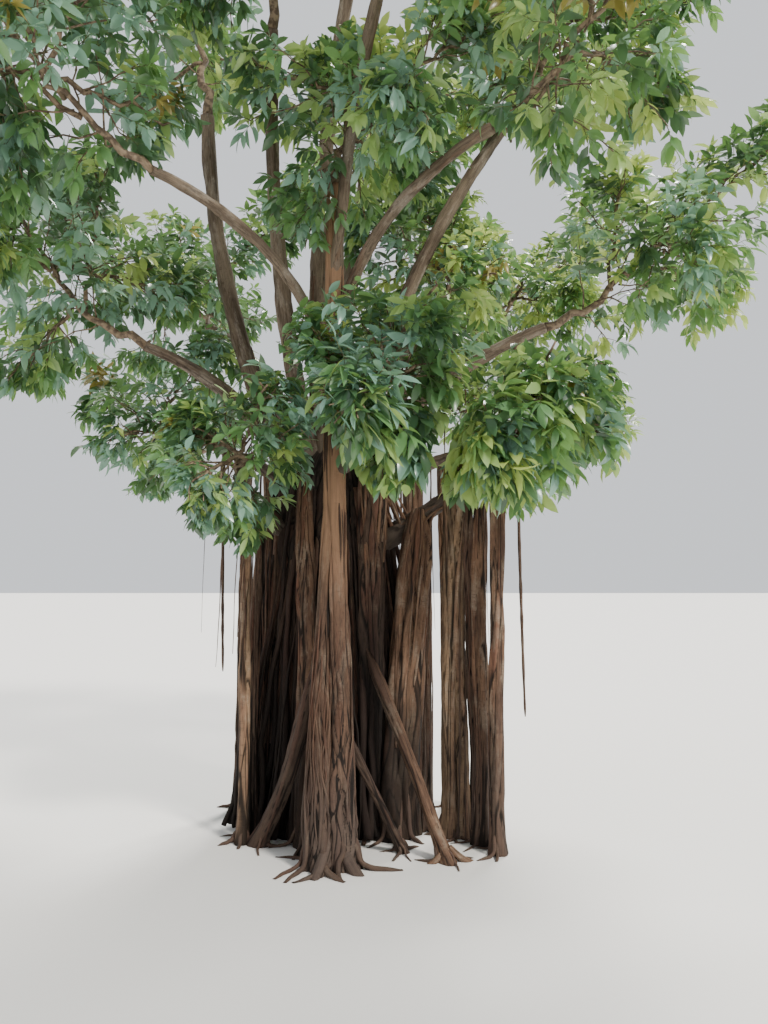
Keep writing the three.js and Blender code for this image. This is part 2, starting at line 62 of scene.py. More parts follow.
def put(name, data):
    """A new object in the scene."""
    thing = bpy.data.objects.new(name, data)
    bpy.context.scene.collection.objects.link(thing)
    return thing


# Camera.
EYE = (0.3, -4.815, 1.6)
LENS = 28
SENSOR_WIDTH = 36
FARTHEST_SEEN = 1000
TILT_UP = 5.59

eye = bpy.data.cameras.new("eye")
eye.lens = LENS
eye.sensor_width = SENSOR_WIDTH
eye.clip_end = FARTHEST_SEEN
eye_object = put("eye", eye)
eye_object.location = EYE
eye_object.rotation_euler = (math.radians(90 + TILT_UP), 0, 0)
bpy.context.scene.camera = eye_object


# Numbers.
GOLDEN_ANGLE = math.pi * (3 - math.sqrt(5))
FULL_TURN = 2 * math.pi
TINY = 1e-6
NOTHING = 1e-9
CLEARANCE = 0.0003
BURIED = 0.06
DOME_STARTS = 0.86
DOME_SPAN = 0.155
LIMB_STEPS = 14
LEAF_ROOM = 0.018
SPACE_MARGIN = 0.03
ENTRY = 0.8
X_AXIS, Y_AXIS, Z_AXIS = np.eye(3)


def mix(a, b, t):
    return a + (b - a) * t


def ease(low, high, x):
    """0 below low, 1 above high and smooth between."""
    t = np.clip((x - low) / (high - low), 0, 1)
    return t * t * (3 - 2 * t)


def unit(v):
    return v / np.maximum(np.linalg.norm(v, axis=-1, keepdims=True), 1e-12)


def seeded(seed):
    """The same even numbers from 0 to 1 on every run, as the solids take them."""
    state = seed

    def number():
        nonlocal state
        state = (1664525 * state + 1013904223) % 2**32
        return state / 2**32

    return number


LATTICE_SIDE = 24
LATTICE = np.random.default_rng(11).random((LATTICE_SIDE,) * 3)


def rough(points):
    """Smooth uneven numbers from 0 to 1 over space, about one bump a unit."""
    cell = np.floor(points).astype(int)
    share = points - cell
    share = share * share * (3 - 2 * share)
    total = 0
    for corner in np.ndindex(2, 2, 2):
        weight = np.prod(np.where(corner, share, 1 - share), axis=-1)
        x, y, z = np.moveaxis((cell + corner) % LATTICE_SIDE, -1, 0)
        total = total + weight * LATTICE[x, y, z]
    return total


def rough_at(x, y, z):
    """The same from separate coordinates."""
    return rough(np.stack(np.broadcast_arrays(x, y, z), -1))


# Limbs.
def bow_point(knots, t):
    """The point at a share of a bow with that start, middle and end."""
    a, b, c = knots
    t = np.asarray(t, float)[..., None]
    return (1 - t) ** 2 * a + 2 * t * (1 - t) * b + t**2 * c


def bow_tangent(knots, t):
    a, b, c = knots
    t = np.asarray(t, float)[..., None]
    return unit((1 - t) * (b - a) + t * (c - b))


@dataclass
class Limb:
    """A tapering limb on one bow, as the solids have it."""

    start: tuple
    end: tuple
    root: float
    tip: float
    bow: tuple = (0, 0, 0)
    flare: float = 0
    flare_height: float = 0.15
    power: float = 1
    dome: bool = False
    flat: float = 1
    lobes: int = 0
    lobe_depth: float = 0
    lobe_turn: float = 0
    lobes_fade: bool = False

    @property
    def knots(self):
        start, end = np.array(self.start, float), np.array(self.end, float)
        return start, (start + end) / 2 + self.bow, end

    def point(self, t):
        return bow_point(self.knots, t)

    def tangent(self, t):
        return bow_tangent(self.knots, t)

    @property
    def length(self):
        line = self.point(np.linspace(0, 1, 201))
        return float(np.linalg.norm(np.diff(line, axis=0), axis=1).sum())

    def axes(self, t):
        """The two directions across the limb, which never spin along it."""
        a, b, c = self.knots
        square = np.cross(b - a, c - a)
        if np.linalg.norm(square) > np.dot(c - a, c - a) * 1e-4:
            first = unit(square)
        else:
            chord = unit(c - a)
            axis = X_AXIS if abs(chord[0]) < 0.7 else Y_AXIS
            first = unit(axis - chord * axis.dot(chord))
        return first, unit(np.cross(self.tangent(t), first))

    def radius(self, t):
        t = np.asarray(t, float)
        flare = self.flare * np.exp(-t * self.length / self.flare_height)
        dome = np.sqrt(1 - np.maximum(0, (t - DOME_STARTS) / DOME_SPAN) ** 2) if self.dome else 1
        return (mix(self.root, self.tip, np.maximum(t, 0) ** self.power) + flare) * dome

    def surface(self, t, around, lift=0.0):
        """Points on the limb's skin, lifted off it."""
        first, second = self.axes(t)
        fade = 1 - 0.7 * t if self.lobes_fade else 1
        lobe = 1 + self.lobe_depth * fade * np.cos(self.lobes * around + self.lobe_turn)
        out = self.radius(t) * lobe + lift
        sideways = (out * np.cos(around))[..., None] * first
        return self.point(t) + sideways + (out * np.sin(around) * self.flat)[..., None] * second

    def side(self, t, direction):
        """The way round the limb that looks in a direction."""
        first, second = self.axes(t)
        return math.atan2(np.dot(direction, second), np.dot(direction, first))

    @property
    def buried(self):
        """The limb grown on below the ground, where the ground cuts it."""
        if self.start[2] != 0:
            return self
        down = self.tangent(0.0)
        start = np.array(self.start) - down * BURIED / max(0.3, down[2])
        return replace(self, start=start)


def toes(foot, count, first, reach, height, thickness):
    """Roots that run out of a foot and dive into the ground."""
    made = []
    for k in range(count):
        around = math.radians(first + 360 * k / count)
        out = np.array([math.cos(around), math.sin(around), 0])
        run = reach * (0.82 if k % 2 else 1)
        start = np.array([*foot, height]) + out * thickness * 0.4
        end = np.array([*foot, -thickness * 0.55]) + out * run
        bow = -out * run * 0.16 - Z_AXIS * height * 0.2
        made.append(Limb(start, end, thickness * 0.8, thickness * 0.62, bow))
    return made


FRONT_FOOT = (0, 0)
CORE_FOOT = (-0.06, 0.82)

front_pole = Limb((0.048, 0, 0), (-0.008, 0.02, 4.15), 0.088, 0.052, (-0.038, 0, -0.3), 0.04, 0.19)
front_rib = Limb((-0.078, -0.012, 0), (-0.016, 0.008, 2.15), 0.08, 0.044, (-0.038, -0.004, 0), 0.034, 0.19)
core = Limb((*CORE_FOOT, 0), (-0.08, 0.83, 2.6), 0.48, 0.35, (0, 0, 0), 0.09, 0.22, dome=True, flat=0.6)
core = replace(core, lobes=7, lobe_depth=0.13, lobe_turn=1.2, lobes_fade=True)
stem_left = Limb((-0.178, 0.36, 0), (-0.236, 0.59, 2.42), 0.064, 0.05, (0.006, -0.05, 0), 0.04, dome=True)
stem_middle = Limb((0.215, 0.6, 0), (0.225, 0.6, 2.52), 0.062, 0.092, (0.01, -0.13, 0.1), 0.034)
stem_middle = replace(stem_middle, dome=True, lobes=3, lobe_depth=0.12)
stem_right = Limb((0.372, 0.61, 0), (0.545, 0.65, 2.15), 0.116, 0.088, (-0.036, -0.07, 0.04), 0.044)
stem_right = replace(stem_right, dome=True, lobes=3, lobe_depth=0.1, lobe_turn=2)
trunk = {
    "trunk_front": [front_pole, front_rib, *toes(FRONT_FOOT, 5, 318, 0.232, 0.24, 0.052)],
    "trunk_core": [core, *toes(CORE_FOOT, 6, 20, 0.7, 0.38, 0.11)],
    "stem_left": [stem_left],
    "stem_middle": [stem_middle],
    "stem_right": [stem_right],
}


@dataclass
class Mass:
    """A mass of foliage: the egg-shaped space it fills, where the bough that carries it leaves its stem,
    how thick that bough is at either end, how it bows or arches, and the side where it enters the space."""

    centre: tuple
    half: tuple
    at: tuple = None
    root: float = 0
    tip: float = 0
    bow: tuple = None
    arch: float = 0
    enter: tuple = None


LOW_LEFT_BOUGH = ((-0.4, 0.79, 2), 0.058, 0.034, (-0.12, 0.1, 0.08), 0, (-0.3, 0.9, -0.1))
LOW_RIGHT_BOUGH = ((0.28, 0.75, 1.93), 0.068, 0.042, (0.2, 0.26, 0.1), 0, (0.05, 1, -0.1))
LOW_HALF = (1.03, 0.94, 0.76)
masses = {
    "low_left": Mass((-0.45, -0.24, 2.37), (0.7, 0.59, 0.6), *LOW_LEFT_BOUGH),
    "low_middle": Mass(
        (0.42, -0.43, 2.78), (0.76, 0.6, 0.7), (-0.004, 0, 2.33), 0.034, 0.024, (0.04, 0.02, -0.06)
    ),
    "low_right": Mass((1.04, -0.37, 2.53), (0.69, 0.59, 0.56), *LOW_RIGHT_BOUGH),
    "low_back_right": Mass((1.56, 1.68, 3.02), LOW_HALF, (0.18, 0.95, 2.2), 0.06, 0.034, (0, 0.06, 0.16)),
    "low_back_left": Mass((-1.44, 1.56, 3.04), LOW_HALF, (-0.3, 0.95, 2.2), 0.06, 0.034, (0, 0.06, 0.16)),
    "left": Mass((-1.96, 0.3, 3.89), (1.2, 1.13, 1.08), (-0.33, 0.84, 2.26), 0.062, 0.036, arch=0.24),
    "right": Mass((2.15, 0.48, 4), (1.24, 1.13, 1.08), (0.09, 0.76, 2.36), 0.064, 0.038, arch=0.16),
    "front_left": Mass((-1.4, -1.2, 4.3), (1.08, 1.02, 0.9), (-0.006, 0.01, 2.86), 0.038, 0.026, arch=0.3),
    "front_right": Mass(
        (1.35, -1.28, 4.52), (1.13, 1.02, 0.94), (-0.008, 0.01, 3.12), 0.038, 0.026, arch=0.3
    ),
    "front_upper": Mass((0.26, -0.26, 4.5), (1.08, 0.94, 0.9)),
    "centre": Mass((0.83, 1.16, 4.14), (1.01, 0.98, 0.88), (0.06, 0.9, 2.4), 0.054, 0.034, arch=0.22),
    "back_left": Mass((-1.55, 2.35, 4.5), (1.26, 1.19, 1.03), (-0.24, 0.96, 2.34), 0.062, 0.036, arch=0.18),
    "back_right": Mass((1.56, 2.56, 4.48), (1.26, 1.19, 1.03), (0.08, 0.98, 2.34), 0.062, 0.036, arch=0.18),
    "high_left": Mass(
        (-1.28, 0.98, 6.12), (1.24, 1.19, 1.19), (-0.32, 0.83, 2.32), 0.074, 0.046, (-0.29, 0.03, -0.12)
    ),
    "high_middle": Mass(
        (-0.48, -0.3, 5.96), (1.11, 1.09, 1.04), (-0.19, 0.79, 2.42), 0.066, 0.04, (-0.24, 0.26, 0.1)
    ),
    "high_right": Mass((1.56, 0.62, 5.82), (1.3, 1.23, 1.19), (0.06, 0.84, 2.44), 0.07, 0.04, arch=0.2),
    "high_back": Mass((0.12, 2.24, 5.92), (1.3, 1.23, 1.15), (-0.06, 0.96, 2.42), 0.066, 0.038, arch=0.18),
    "high_front": Mass(
        (0.62, -1.48, 5.98), (1.19, 1.11, 1.05), (-0.008, 0.016, 3.52), 0.036, 0.026, arch=0.3
    ),
    "top": Mass((0.12, 0.7, 7.23), (1.42, 1.34, 1.2), (-0.13, 0.8, 2.42), 0.078, 0.046, (-0.26, 0.04, 0)),
}
MASS_NAMES = list(masses)
FOLIAGE_NODES = ["foliage_" + name for name in masses]
LOW_MASSES = [MASS_NAMES.index(name) for name in ("low_left", "low_middle", "low_right")]
CENTRES = np.array([m.centre for m in masses.values()])
HALVES = np.array([m.half for m in masses.values()])


def spread(points):
    """How far points lie out in each mass's space: 0 at its centre and 1 at its edge."""
    return np.linalg.norm((points[..., None, :] - CENTRES) / HALVES, axis=-1)


def in_own_space(index, points):
    """Which points lie in their mass's space, and less far out in it than in any other's."""
    away = spread(points)
    place = np.broadcast_to(index, away.shape[:-1])[..., None]
    own = np.take_along_axis(away, place, -1)[..., 0]
    others = away.copy()
    np.put_along_axis(others, place, np.inf, -1)
    return (own < 1) & (own < others.min(-1) - SPACE_MARGIN)


def in_uneven_space(index, points):
    """The same, with an edge that swells and shrinks, so that the mass has bays and lobes. The low masses at
    the sides have more of them."""
    own = np.linalg.norm((points - CENTRES[index]) / HALVES[index], axis=-1)
    ragged = np.isin(index, [LOW_MASSES[0], LOW_MASSES[-1]])
    bays = rough(points * np.where(ragged, 3.4, 2.2)[:, None] + 9)
    return in_own_space(index, points) & (own < 1.2 - np.where(ragged, 1.1, 0.95) * bays**1.5)


# The front of the stems shows bare below a line with these x and heights.
BARE_X = (-0.44, -0.37, -0.29, -0.25, -0.1, -0.09, 0.02, 0.035, 0.07, 0.22)
BARE_HEIGHTS = (1.76, 1.9, 1.92, 2.08, 2.12, 2.43, 2.43, 2.27, 2.12, 2.12)
BARE_FRONT = 0.2


def hides_stem(points):
    """Which points lie before the bare front of the stems."""
    x, y, z = points.T
    return (z < np.interp(x, BARE_X, BARE_HEIGHTS, left=0, right=0)) & (y < BARE_FRONT)


boughs = {}
for place, (name, mass) in enumerate(masses.items()):
    if mass.at is None:
        continue
    centre, half, leaves_at = np.array(mass.centre), np.array(mass.half), np.array(mass.at, float)
    if mass.enter:
        arrives = centre + half * np.array(mass.enter) * ENTRY
    else:
        arrives = mix(centre, leaves_at, ENTRY / spread(leaves_at)[place])
    run = arrives - leaves_at
    arched = (-mass.arch * run[0], -mass.arch * run[1], mass.arch * math.hypot(run[0], run[1]))
    boughs["bough_" + name] = [Limb(mass.at, arrives, mass.root, mass.tip, mass.bow or arched, power=0.8)]


def pillar(bough, share, aside, root, tip, lobes=0, twin=0.0):
    """A root that drops from a bough to the ground, or a pair grown together."""
    x, y, z = boughs[bough][0].point(share)
    made = []
    for shift in [-twin, twin] if twin else [0]:
        foot = (x + aside[0] + shift, y + aside[1], 0)
        bow = (aside[0] / 4, aside[1] / 4, 0)
        limb = Limb(foot, (x + shift / 2, y, z), root, tip, bow, flare=0.03, flare_height=0.11)
        made.append(replace(limb, lobes=lobes, lobe_depth=0.12 if lobes else 0))
    return made


pillars = {
    "pillar_left_outer": pillar("bough_low_left", 0.66, (-0.01, -0.01), 0.028, 0.024),
    "pillar_left_inner": pillar("bough_low_left", 0.4, (-0.04, -0.04), 0.034, 0.028),
    "pillar_right_inner": pillar("bough_low_right", 0.26, (-0.01, 0.06), 0.06, 0.046, lobes=3),
    "pillar_right_lit": pillar("bough_low_right", 0.5, (-0.01, 0.01), 0.048, 0.056, twin=0.044),
    "pillar_right_slim": pillar("bough_low_right", 0.62, (0.02, 0.1), 0.022, 0.02),
    "pillar_right_outer": pillar("bough_low_right", 0.73, (-0.01, 0.01), 0.044, 0.038, lobes=3),
    "pillar_right_last": pillar("bough_low_right", 0.89, (-0.03, 0), 0.042, 0.036),
    "pillar_back_left": pillar("bough_low_back_left", 0.42, (0.02, 0.03), 0.056, 0.044, lobes=3),
    "pillar_back_left_far": pillar("bough_low_back_left", 0.72, (-0.03, 0.02), 0.038, 0.032),
    "pillar_back_right": pillar("bough_low_back_right", 0.42, (0.01, 0.04), 0.058, 0.046, twin=0.04),
    "pillar_back_right_far": pillar("bough_low_back_right", 0.72, (0.03, 0.01), 0.04, 0.034),
    "pillar_back": pillar("bough_back_left", 0.2, (0.04, 0.06), 0.062, 0.05, lobes=3),
}

prop_long = Limb((0.676, 0.066, 0), (0.206, 0.48, 1.17), 0.04, 0.032, (0.03, -0.024, -0.04), 0.026, 0.09)
prop_short = Limb((0.414, 0.244, 0), (0.06, 0.06, 0.76), 0.03, 0.024, (0.03, -0.01, -0.04), 0.022, 0.07)
prop_left = Limb((-0.5, 0.385, 0), (-0.11, 0.02, 1.12), 0.05, 0.044, (0.06, -0.05, -0.14), 0.02, 0.12)
props = {
    "prop_root_long": [prop_long, *toes((0.676, 0.066), 2, 10, 0.15, 0.09, 0.028)],
    "prop_root_short": [prop_short],
    "prop_root_left": [prop_left],
}


def hanging_root(bough, share, end, thickness):
    """A root that ends in the air."""
    top = boughs[bough][0].point(share)
    foot = (top[0] + 0.024, top[1] - 0.01, end)
    return [Limb(foot, top, thickness * 0.6, thickness, (-0.016, 0.01, 0))]


hanging_roots = {
    "hanging_root_right": hanging_root("bough_right", 0.88, 0.76, 0.015),
    "hanging_root_left": hanging_root("bough_left", 0.6, 1.05, 0.014),
}


# Limbs as chains of short straight pieces, for keeping twigs and leaves clear of them.
def limb_chains():
    shares = np.linspace(0, 1, LIMB_STEPS + 1)
    starts, ends, radii = [], [], []
    for limbs in {**trunk, **boughs, **pillars, **props, **hanging_roots}.values():
        for limb in limbs:
            line = limb.point(shares)
            thick = limb.radius(shares) * (1 + limb.lobe_depth)
            starts.append(line[:-1])
            ends.append(line[1:])
            radii.append(np.maximum(thick[:-1], thick[1:]))
    return np.concatenate(starts), np.concatenate(ends), np.concatenate(radii)


CHAIN_FROM, CHAIN_TO, CHAIN_RADIUS = limb_chains()


def touches_limb(a, b, thickness):
    """Whether the straight piece from a to b comes too near a limb."""
    u, v, w = b - a, CHAIN_TO - CHAIN_FROM, a - CHAIN_FROM
    uu, uv, vv = u.dot(u), v @ u, (v * v).sum(1)
    uw, vw = w @ u, (v * w).sum(1)
    cross = uu * vv - uv * uv
    s = np.where(cross > NOTHING, np.clip((uv * vw - vv * uw) / np.maximum(cross, NOTHING), 0, 1), 0)
    t = np.clip((uv * s + vw) / np.maximum(vv, NOTHING), 0, 1)
    again = np.clip((uv * t - uw) / max(uu, NOTHING), 0, 1)
    gap = np.linalg.norm(a + again[:, None] * u - CHAIN_FROM - t[:, None] * v, axis=1)
    return bool((gap < CHAIN_RADIUS + thickness + LEAF_ROOM).any())


AT_ONCE = 2000
NEARBY = 0.6


def clear_of_limbs(points, room):
    """Which points stand off every limb by that room."""
    free = np.ones(len(points), bool)
    for k in range(0, len(points), AT_ONCE):
        some = points[k : k + AT_ONCE]
        low, high = some.min(0) - NEARBY, some.max(0) + NEARBY
        near = ((CHAIN_FROM > low) & (CHAIN_FROM < high)).all(1)
        a, v, radius = CHAIN_FROM[near], (CHAIN_TO - CHAIN_FROM)[near], CHAIN_RADIUS[near]
        if len(a) == 0:
            continue
        w = some[:, None] - a
        t = np.clip((w * v).sum(-1) / np.maximum((v * v).sum(-1), NOTHING), 0, 1)
        gap = np.linalg.norm(w - t[..., None] * v, axis=-1)
        free[k : k + AT_ONCE] = (gap > radius + room).all(1)
    return free


# Finishes.
def paint(code):
    """A colour from its six hexadecimal digits, as light."""
    parts = [int(code[k : k + 2], 16) / 255 for k in (0, 2, 4)]
    return (*[p / 12.92 if p <= 0.04045 else ((p + 0.055) / 1.055) ** 2.4 for p in parts], 1)


class Tone:
    """A value that varies over a surface and takes part in sums."""

    def __init__(self, finish, socket):
        self.finish = finish
        self.socket = socket

    def sum(self, operation, a, b):
        return self.finish.node("Math", {0: a, 1: b}, operation=operation)

    def __add__(self, other):
        return self.sum("ADD", self, other)

    def __sub__(self, other):
        return self.sum("SUBTRACT", self, other)

    def __rsub__(self, other):
        return self.sum("SUBTRACT", other, self)

    def __mul__(self, other):
        return self.sum("MULTIPLY", self, other)

    __radd__ = __add__
    __rmul__ = __mul__


class Finish:
    """A material under construction."""

    def __init__(self, name):
        self.material = bpy.data.materials.new(name)
        self.material.use_nodes = True
        self.tree = self.material.node_tree
        self.tree.nodes.clear()

    def node(self, kind, inputs, output=0, **settings):
        made = self.tree.nodes.new("ShaderNode" + kind)
        for key, value in settings.items():
            setattr(made, key, value)
        for key, value in inputs.items():
            if isinstance(value, Tone):
                self.tree.links.new(value.socket, made.inputs[key])
            else:
                made.inputs[key].default_value = value
        return Tone(self, made.outputs[output])

    def blend(self, share, a, b):
        """Colour a where share is 0 and colour b where it is 1."""
        return self.node("Mix", {0: share, 6: a, 7: b}, 2, data_type="RGBA")

    def uneven(self, place, stretch, detail=3.0, roughness=0.55):
        """Noise over a place, with that many bumps a metre along each axis."""
        scaled = self.node("VectorMath", {0: place, 1: stretch}, operation="MULTIPLY")
        inputs = {"Vector": scaled, "Scale": 1.0, "Detail": detail, "Roughness": roughness}
        return self.node("TexNoise", inputs)

    def between(self, value, low, high):
        """0 below low, 1 above high and smooth between."""
        inputs = {"Value": value, "From Min": low, "From Max": high, "To Min": 0.0, "To Max": 1.0}
        return self.node("MapRange", inputs, interpolation_type="SMOOTHSTEP")

    def skin(self, colour, roughness, more=None):
        inputs = {"Base Color": colour, "Roughness": roughness, **(more or {})}
        return self.node("BsdfPrincipled", inputs, "BSDF")

    def close(self, shader):
        out = self.tree.nodes.new("ShaderNodeOutputMaterial")
        self.tree.links.new(shader.socket, out.inputs["Surface"])
        return self.material


# The usual colour of painted shade.
SHADE_COLOUR = "3d3531"


def bark(name, palette, marks, paleness, painted_shade, shade_colour=SHADE_COLOUR, roughness=0.8, tan_and_painted_light=None, shadow=(0.85, -0.05)):
    """Fibrous bark: streaks along the limb, fine marks across it, pale patches, each fused strand in a tone
    of its own, and dark furrows that hold painted shade. palette is its light, dark, warm and pale colours
    and that of its furrows and their painted shade. Higher up it may turn a lighter brown, partly its own
    colour and partly painted light, with less painted shade in its furrows. It takes painted shade of a
    colour of its own as well: how much, the height where it takes it in full and the height where it takes
    none. shadow is the rise where a furrow begins to darken with painted shade and the rise where it is
    darkest."""
    light, dark, warm, pale, furrow = (paint(code) for code in palette.split())
    finish = Finish(name)
    grain = finish.node("Attribute", {}, "Vector", attribute_name="grain")
    rise = finish.node("Attribute", {}, "Fac", attribute_name="rise")
    tone = finish.node("Attribute", {}, "Fac", attribute_name="tone")
    fibre = finish.uneven(grain, (60, 60, 3.5), 5, 0.62)
    fine = finish.uneven(grain, (210, 210, 16), 4, 0.6)
    across = finish.between(finish.uneven(grain, (20, 20, 130), 3, 0.6), 0.56, 0.7)
    cloud = finish.between(finish.uneven(grain, (5, 5, 1.6), 5, 0.65), 0.34, 0.64)
    patch = finish.between(finish.uneven(grain, (9, 9, 3.5), 6, 0.68), 0.5, 0.64)
    speck = finish.between(finish.uneven(grain, (75, 75, 60), 4, 0.6), 0.55, 0.68)
    height_up = finish.node("SeparateXYZ", {0: finish.node("TexCoord", {}, "Object")}, 2)
    amount, full, none = painted_shade
    # Painted shade in the furrows, where the rise is low.
    crease = finish.between(rise, *shadow) * 0.95
    layers = [
        (finish.between(tone, 0.45, 1.0) * 0.75, warm),
        (finish.between(tone, 0.3, 0.0) * 0.55, dark),
        (finish.between(fibre, 0.42, 0.7) * 0.5, light),
        (finish.between(fibre, 0.5, 0.3) * 0.5, dark),
        (finish.between(fine, 0.52, 0.34) * 0.45, furrow),
        (patch * (speck * 0.5 + 0.5) * paleness, pale),
        (across * (marks * 0.5), dark),
    ]
    # Higher up: lighter brown, partly own colour, partly painted light; less painted shade in furrows.
    if tan_and_painted_light:
        smooth = finish.between(height_up, 1.45, 2.1)
        layers.append((smooth * (fibre * 0.6 + 0.25), paint(tan_and_painted_light)))
        crease = crease * (1 - smooth * 0.6)
    # Painted shade between two heights, then painted shade in the furrows.
    layers += [(finish.between(height_up, none, full) * amount, paint(shade_colour)), (crease, furrow)]
    colour = finish.blend(cloud, dark, light)
    for share, over in layers:
        colour = finish.blend(share, colour, over)
    height = fibre * 0.55 + fine * 0.45 + across * (-0.3 * marks)
    normal = finish.node("Bump", {"Strength": 0.75, "Distance": 0.008, "Height": height}, "Normal")
    more = {"Normal": normal, "Specular IOR Level": 0.25}
    return finish.close(finish.skin(colour, patch * 0.08 + roughness, more))


LIT = ("775c48 443127 6b4838 918575 120c08", 0.8, 0.7)
ROOT = ("5e4b3f 372a22 5f4034 857868 0d0806", 0.2, 0.5)
# Painted shade darkens the lit bark towards the ground.
LIT_BARK = bark("lit_bark", *LIT, (0.62, 0.15, 1.2))
# The front stem: painted shade darkens it towards the ground; higher up it turns lighter, partly painted
# light.
FRONT = {"shade_colour": "4a413c", "tan_and_painted_light": "ac8769", "shadow": (1.0, 0.2)}
FRONT_BARK = bark("front_bark", "5d4637 34261e 56382c 76695b 100b08", 0.8, 0.7, (0.62, 0.1, 0.9), **FRONT)
# Painted shade darkens the long prop above its foot.
PROP_BARK = bark("prop_bark", *LIT, (0.7, 1.1, 0.3), "2a1d17")
# Painted shade darkens the lower stems almost to black towards the ground.
STEM_BARK = bark("stem_bark", *LIT, (0.85, 0.45, 1.35), "1b1613")
# A lighter bark: painted light on pillars that the boughs shade, and painted shade towards the ground.
PAINTED_LIGHT_BARK = bark("painted_light_bark", "91765c 524336 7a5a48 a09280 17110c", 0.8, 0.65, (0.3, 0.15, 1.0))
SHADED = ("3c302a 1f1916 463028 595049 040303", 0.3, 0.4)
# Painted shade: a dark copy of the bark for the shaded core, darker still towards the ground.
SHADED_BARK = bark("shaded_bark", *SHADED, (0.75, 0.5, 1.6), "100d0b", roughness=0.88)
# Painted shade darkens the boughs towards their low starts by the core.
BOUGH_BARK = bark("bough_bark", "786a5a 483c32 6a5040 958c80 17110d", 0.7, 0.8, (0.7, 2.1, 2.9))
# Painted shade darkens the strands towards the ground.
ROOT_BARK = bark("strand_bark", *ROOT, (0.6, 0.2, 1.1), roughness=0.86)
# Painted shade of the hollow: the middle stem and the curtain of roots turn almost black below 1.9 m.
HOLLOW_SHADE_BARK = bark("hollow_shade_bark", *ROOT, (0.9, 0.9, 1.9), "15110f", roughness=0.86)
# Painted shade darkens the shaded props.
PROP_SHADED_BARK = bark("prop_shaded_bark", *ROOT, (0.55, 1.5, 2.0), "2a211c", roughness=0.86)


def twig_bark(name, light, dark):
    """Thin bark with soft blotches."""
    finish = Finish(name)
    place = finish.node("TexCoord", {}, "Object")
    blotch = finish.between(finish.uneven(place, (30, 30, 30), 3), 0.4, 0.6)
    return finish.close(finish.skin(finish.blend(blotch, paint(dark), paint(light)), 0.75))


TWIG_BARK = twig_bark("twig_bark", "7d6b56", "4d3e30")
GREEN_TWIG = twig_bark("green_twig", "6d7046", "4a4a30")


def leaf_tint(name, face, glow, gloss=0.3, through=0.35):
    """A glossy leaf that lets some light through."""
    finish = Finish("leaf_" + name)
    skin = finish.skin(paint(face), gloss, {"Specular IOR Level": 0.8})
    glowing = finish.node("BsdfTranslucent", {"Color": paint(glow)})
    return finish.close(finish.node("MixShader", {0: through, 1: skin, 2: glowing}))


# Each tint with its share of the sprays on the shaded left and on the sunny right.
LEAF_TINTS = {
    "deep": (leaf_tint("deep", "3e5c44", "668c45"), 0.32, 0.22),
    "green": (leaf_tint("green", "5b8357", "8cb25a"), 0.3, 0.3),
    # This tint is a painted reflection: the bluish sheen of the sky on glossy leaves.
    "bluish": (leaf_tint("bluish", "7ba092", "90b384", gloss=0.24), 0.32, 0.14),
    "fresh": (leaf_tint("fresh", "86a567", "b4ca70", through=0.42), 0.11, 0.27),
    # This tint is bright yellow-green, painted backlight on leaves lit from behind.
    "bright": (leaf_tint("bright", "98ae66", "c4d572", through=0.44), 0.02, 0.08),
    "faded": (leaf_tint("faded", "8a8145", "a89a4c"), 0.006, 0.01),
}


# Bark shells.
STANDS_OUT = 0.72


@dataclass
class Fused:
    """Strands of root fused to a limb: how many, how thick and how slanted they are, how far up they reach,
    and how much longer than usual their waves are."""

    count: int
    thick: tuple
    slant: float
    reach: tuple = (9.0, 9.0)
    calm: float = 1.0

    def relief(self, around, along, girth, seed):
        """How far strands stand out at each place, how deep its crease is, which sets the painted shade in
        it, and its strand's tone.
        """
        rng = np.random.default_rng(200 + seed)
        deep = np.mean(self.thick) * STANDS_OUT
        wave = along / self.calm
        ring = np.stack([np.cos(around), np.sin(around), wave * 2.5 + seed], -1)
        best, second = deep * mix(0.15, 0.75, rough(ring * (2.5, 2.5, 1))), np.full(len(around), -1.0)
        tone = np.full(len(around), 0.35)
        for k in range(self.count):
            middle = FULL_TURN * (k + rng.random()) / self.count
            thick = rng.uniform(*self.thick)
            top = rng.uniform(*self.reach)
            waves = [(rng.uniform(0.7, 1.6), 0.03), (rng.uniform(0.22, 0.5), 0.008)]
            lean = rng.normal(0, self.slant) * (3 if k % 6 == 0 else 1)
            path = middle + lean * (along - 0.8) / girth
            for span, sway in waves:
                path = path + sway / girth * np.sin(FULL_TURN * wave / span + rng.uniform(0, FULL_TURN))
            swell = np.sin(FULL_TURN * wave / rng.uniform(0.3, 0.9) + rng.uniform(0, FULL_TURN))
            width = thick * (1 + 0.3 * swell) * ease(top + 0.12, top - 0.12, along)
            away = (around - path + math.pi) % FULL_TURN - math.pi
            round_off = np.clip(1 - (away * girth / np.maximum(width, 1e-5)) ** 2, 0, None)
            stands = width * STANDS_OUT * np.sqrt(round_off)
            above = stands > best
            second = np.maximum(second, np.where(above, best, stands))
            tone = np.where(above, rng.random(), tone)
            best = np.where(above, stands, best)
        return best, ease(0, 0.5 * deep, best - second), tone


def ribbed(around, along, ribs, seed):
    """Broad rounded ribs that wander up a limb: 0 in a furrow and 1 on a crest."""
    ring = np.stack([np.cos(around), np.sin(around), along * 0.8 + 5 * seed], -1)
    drift = 1.5 * (rough(ring * 1.3) - 0.5) + 0.5 * (rough(ring * (3, 3, 2.4) + 9) - 0.5)
    return np.abs(np.cos(ribs / 2 * (around + drift))) ** 0.6


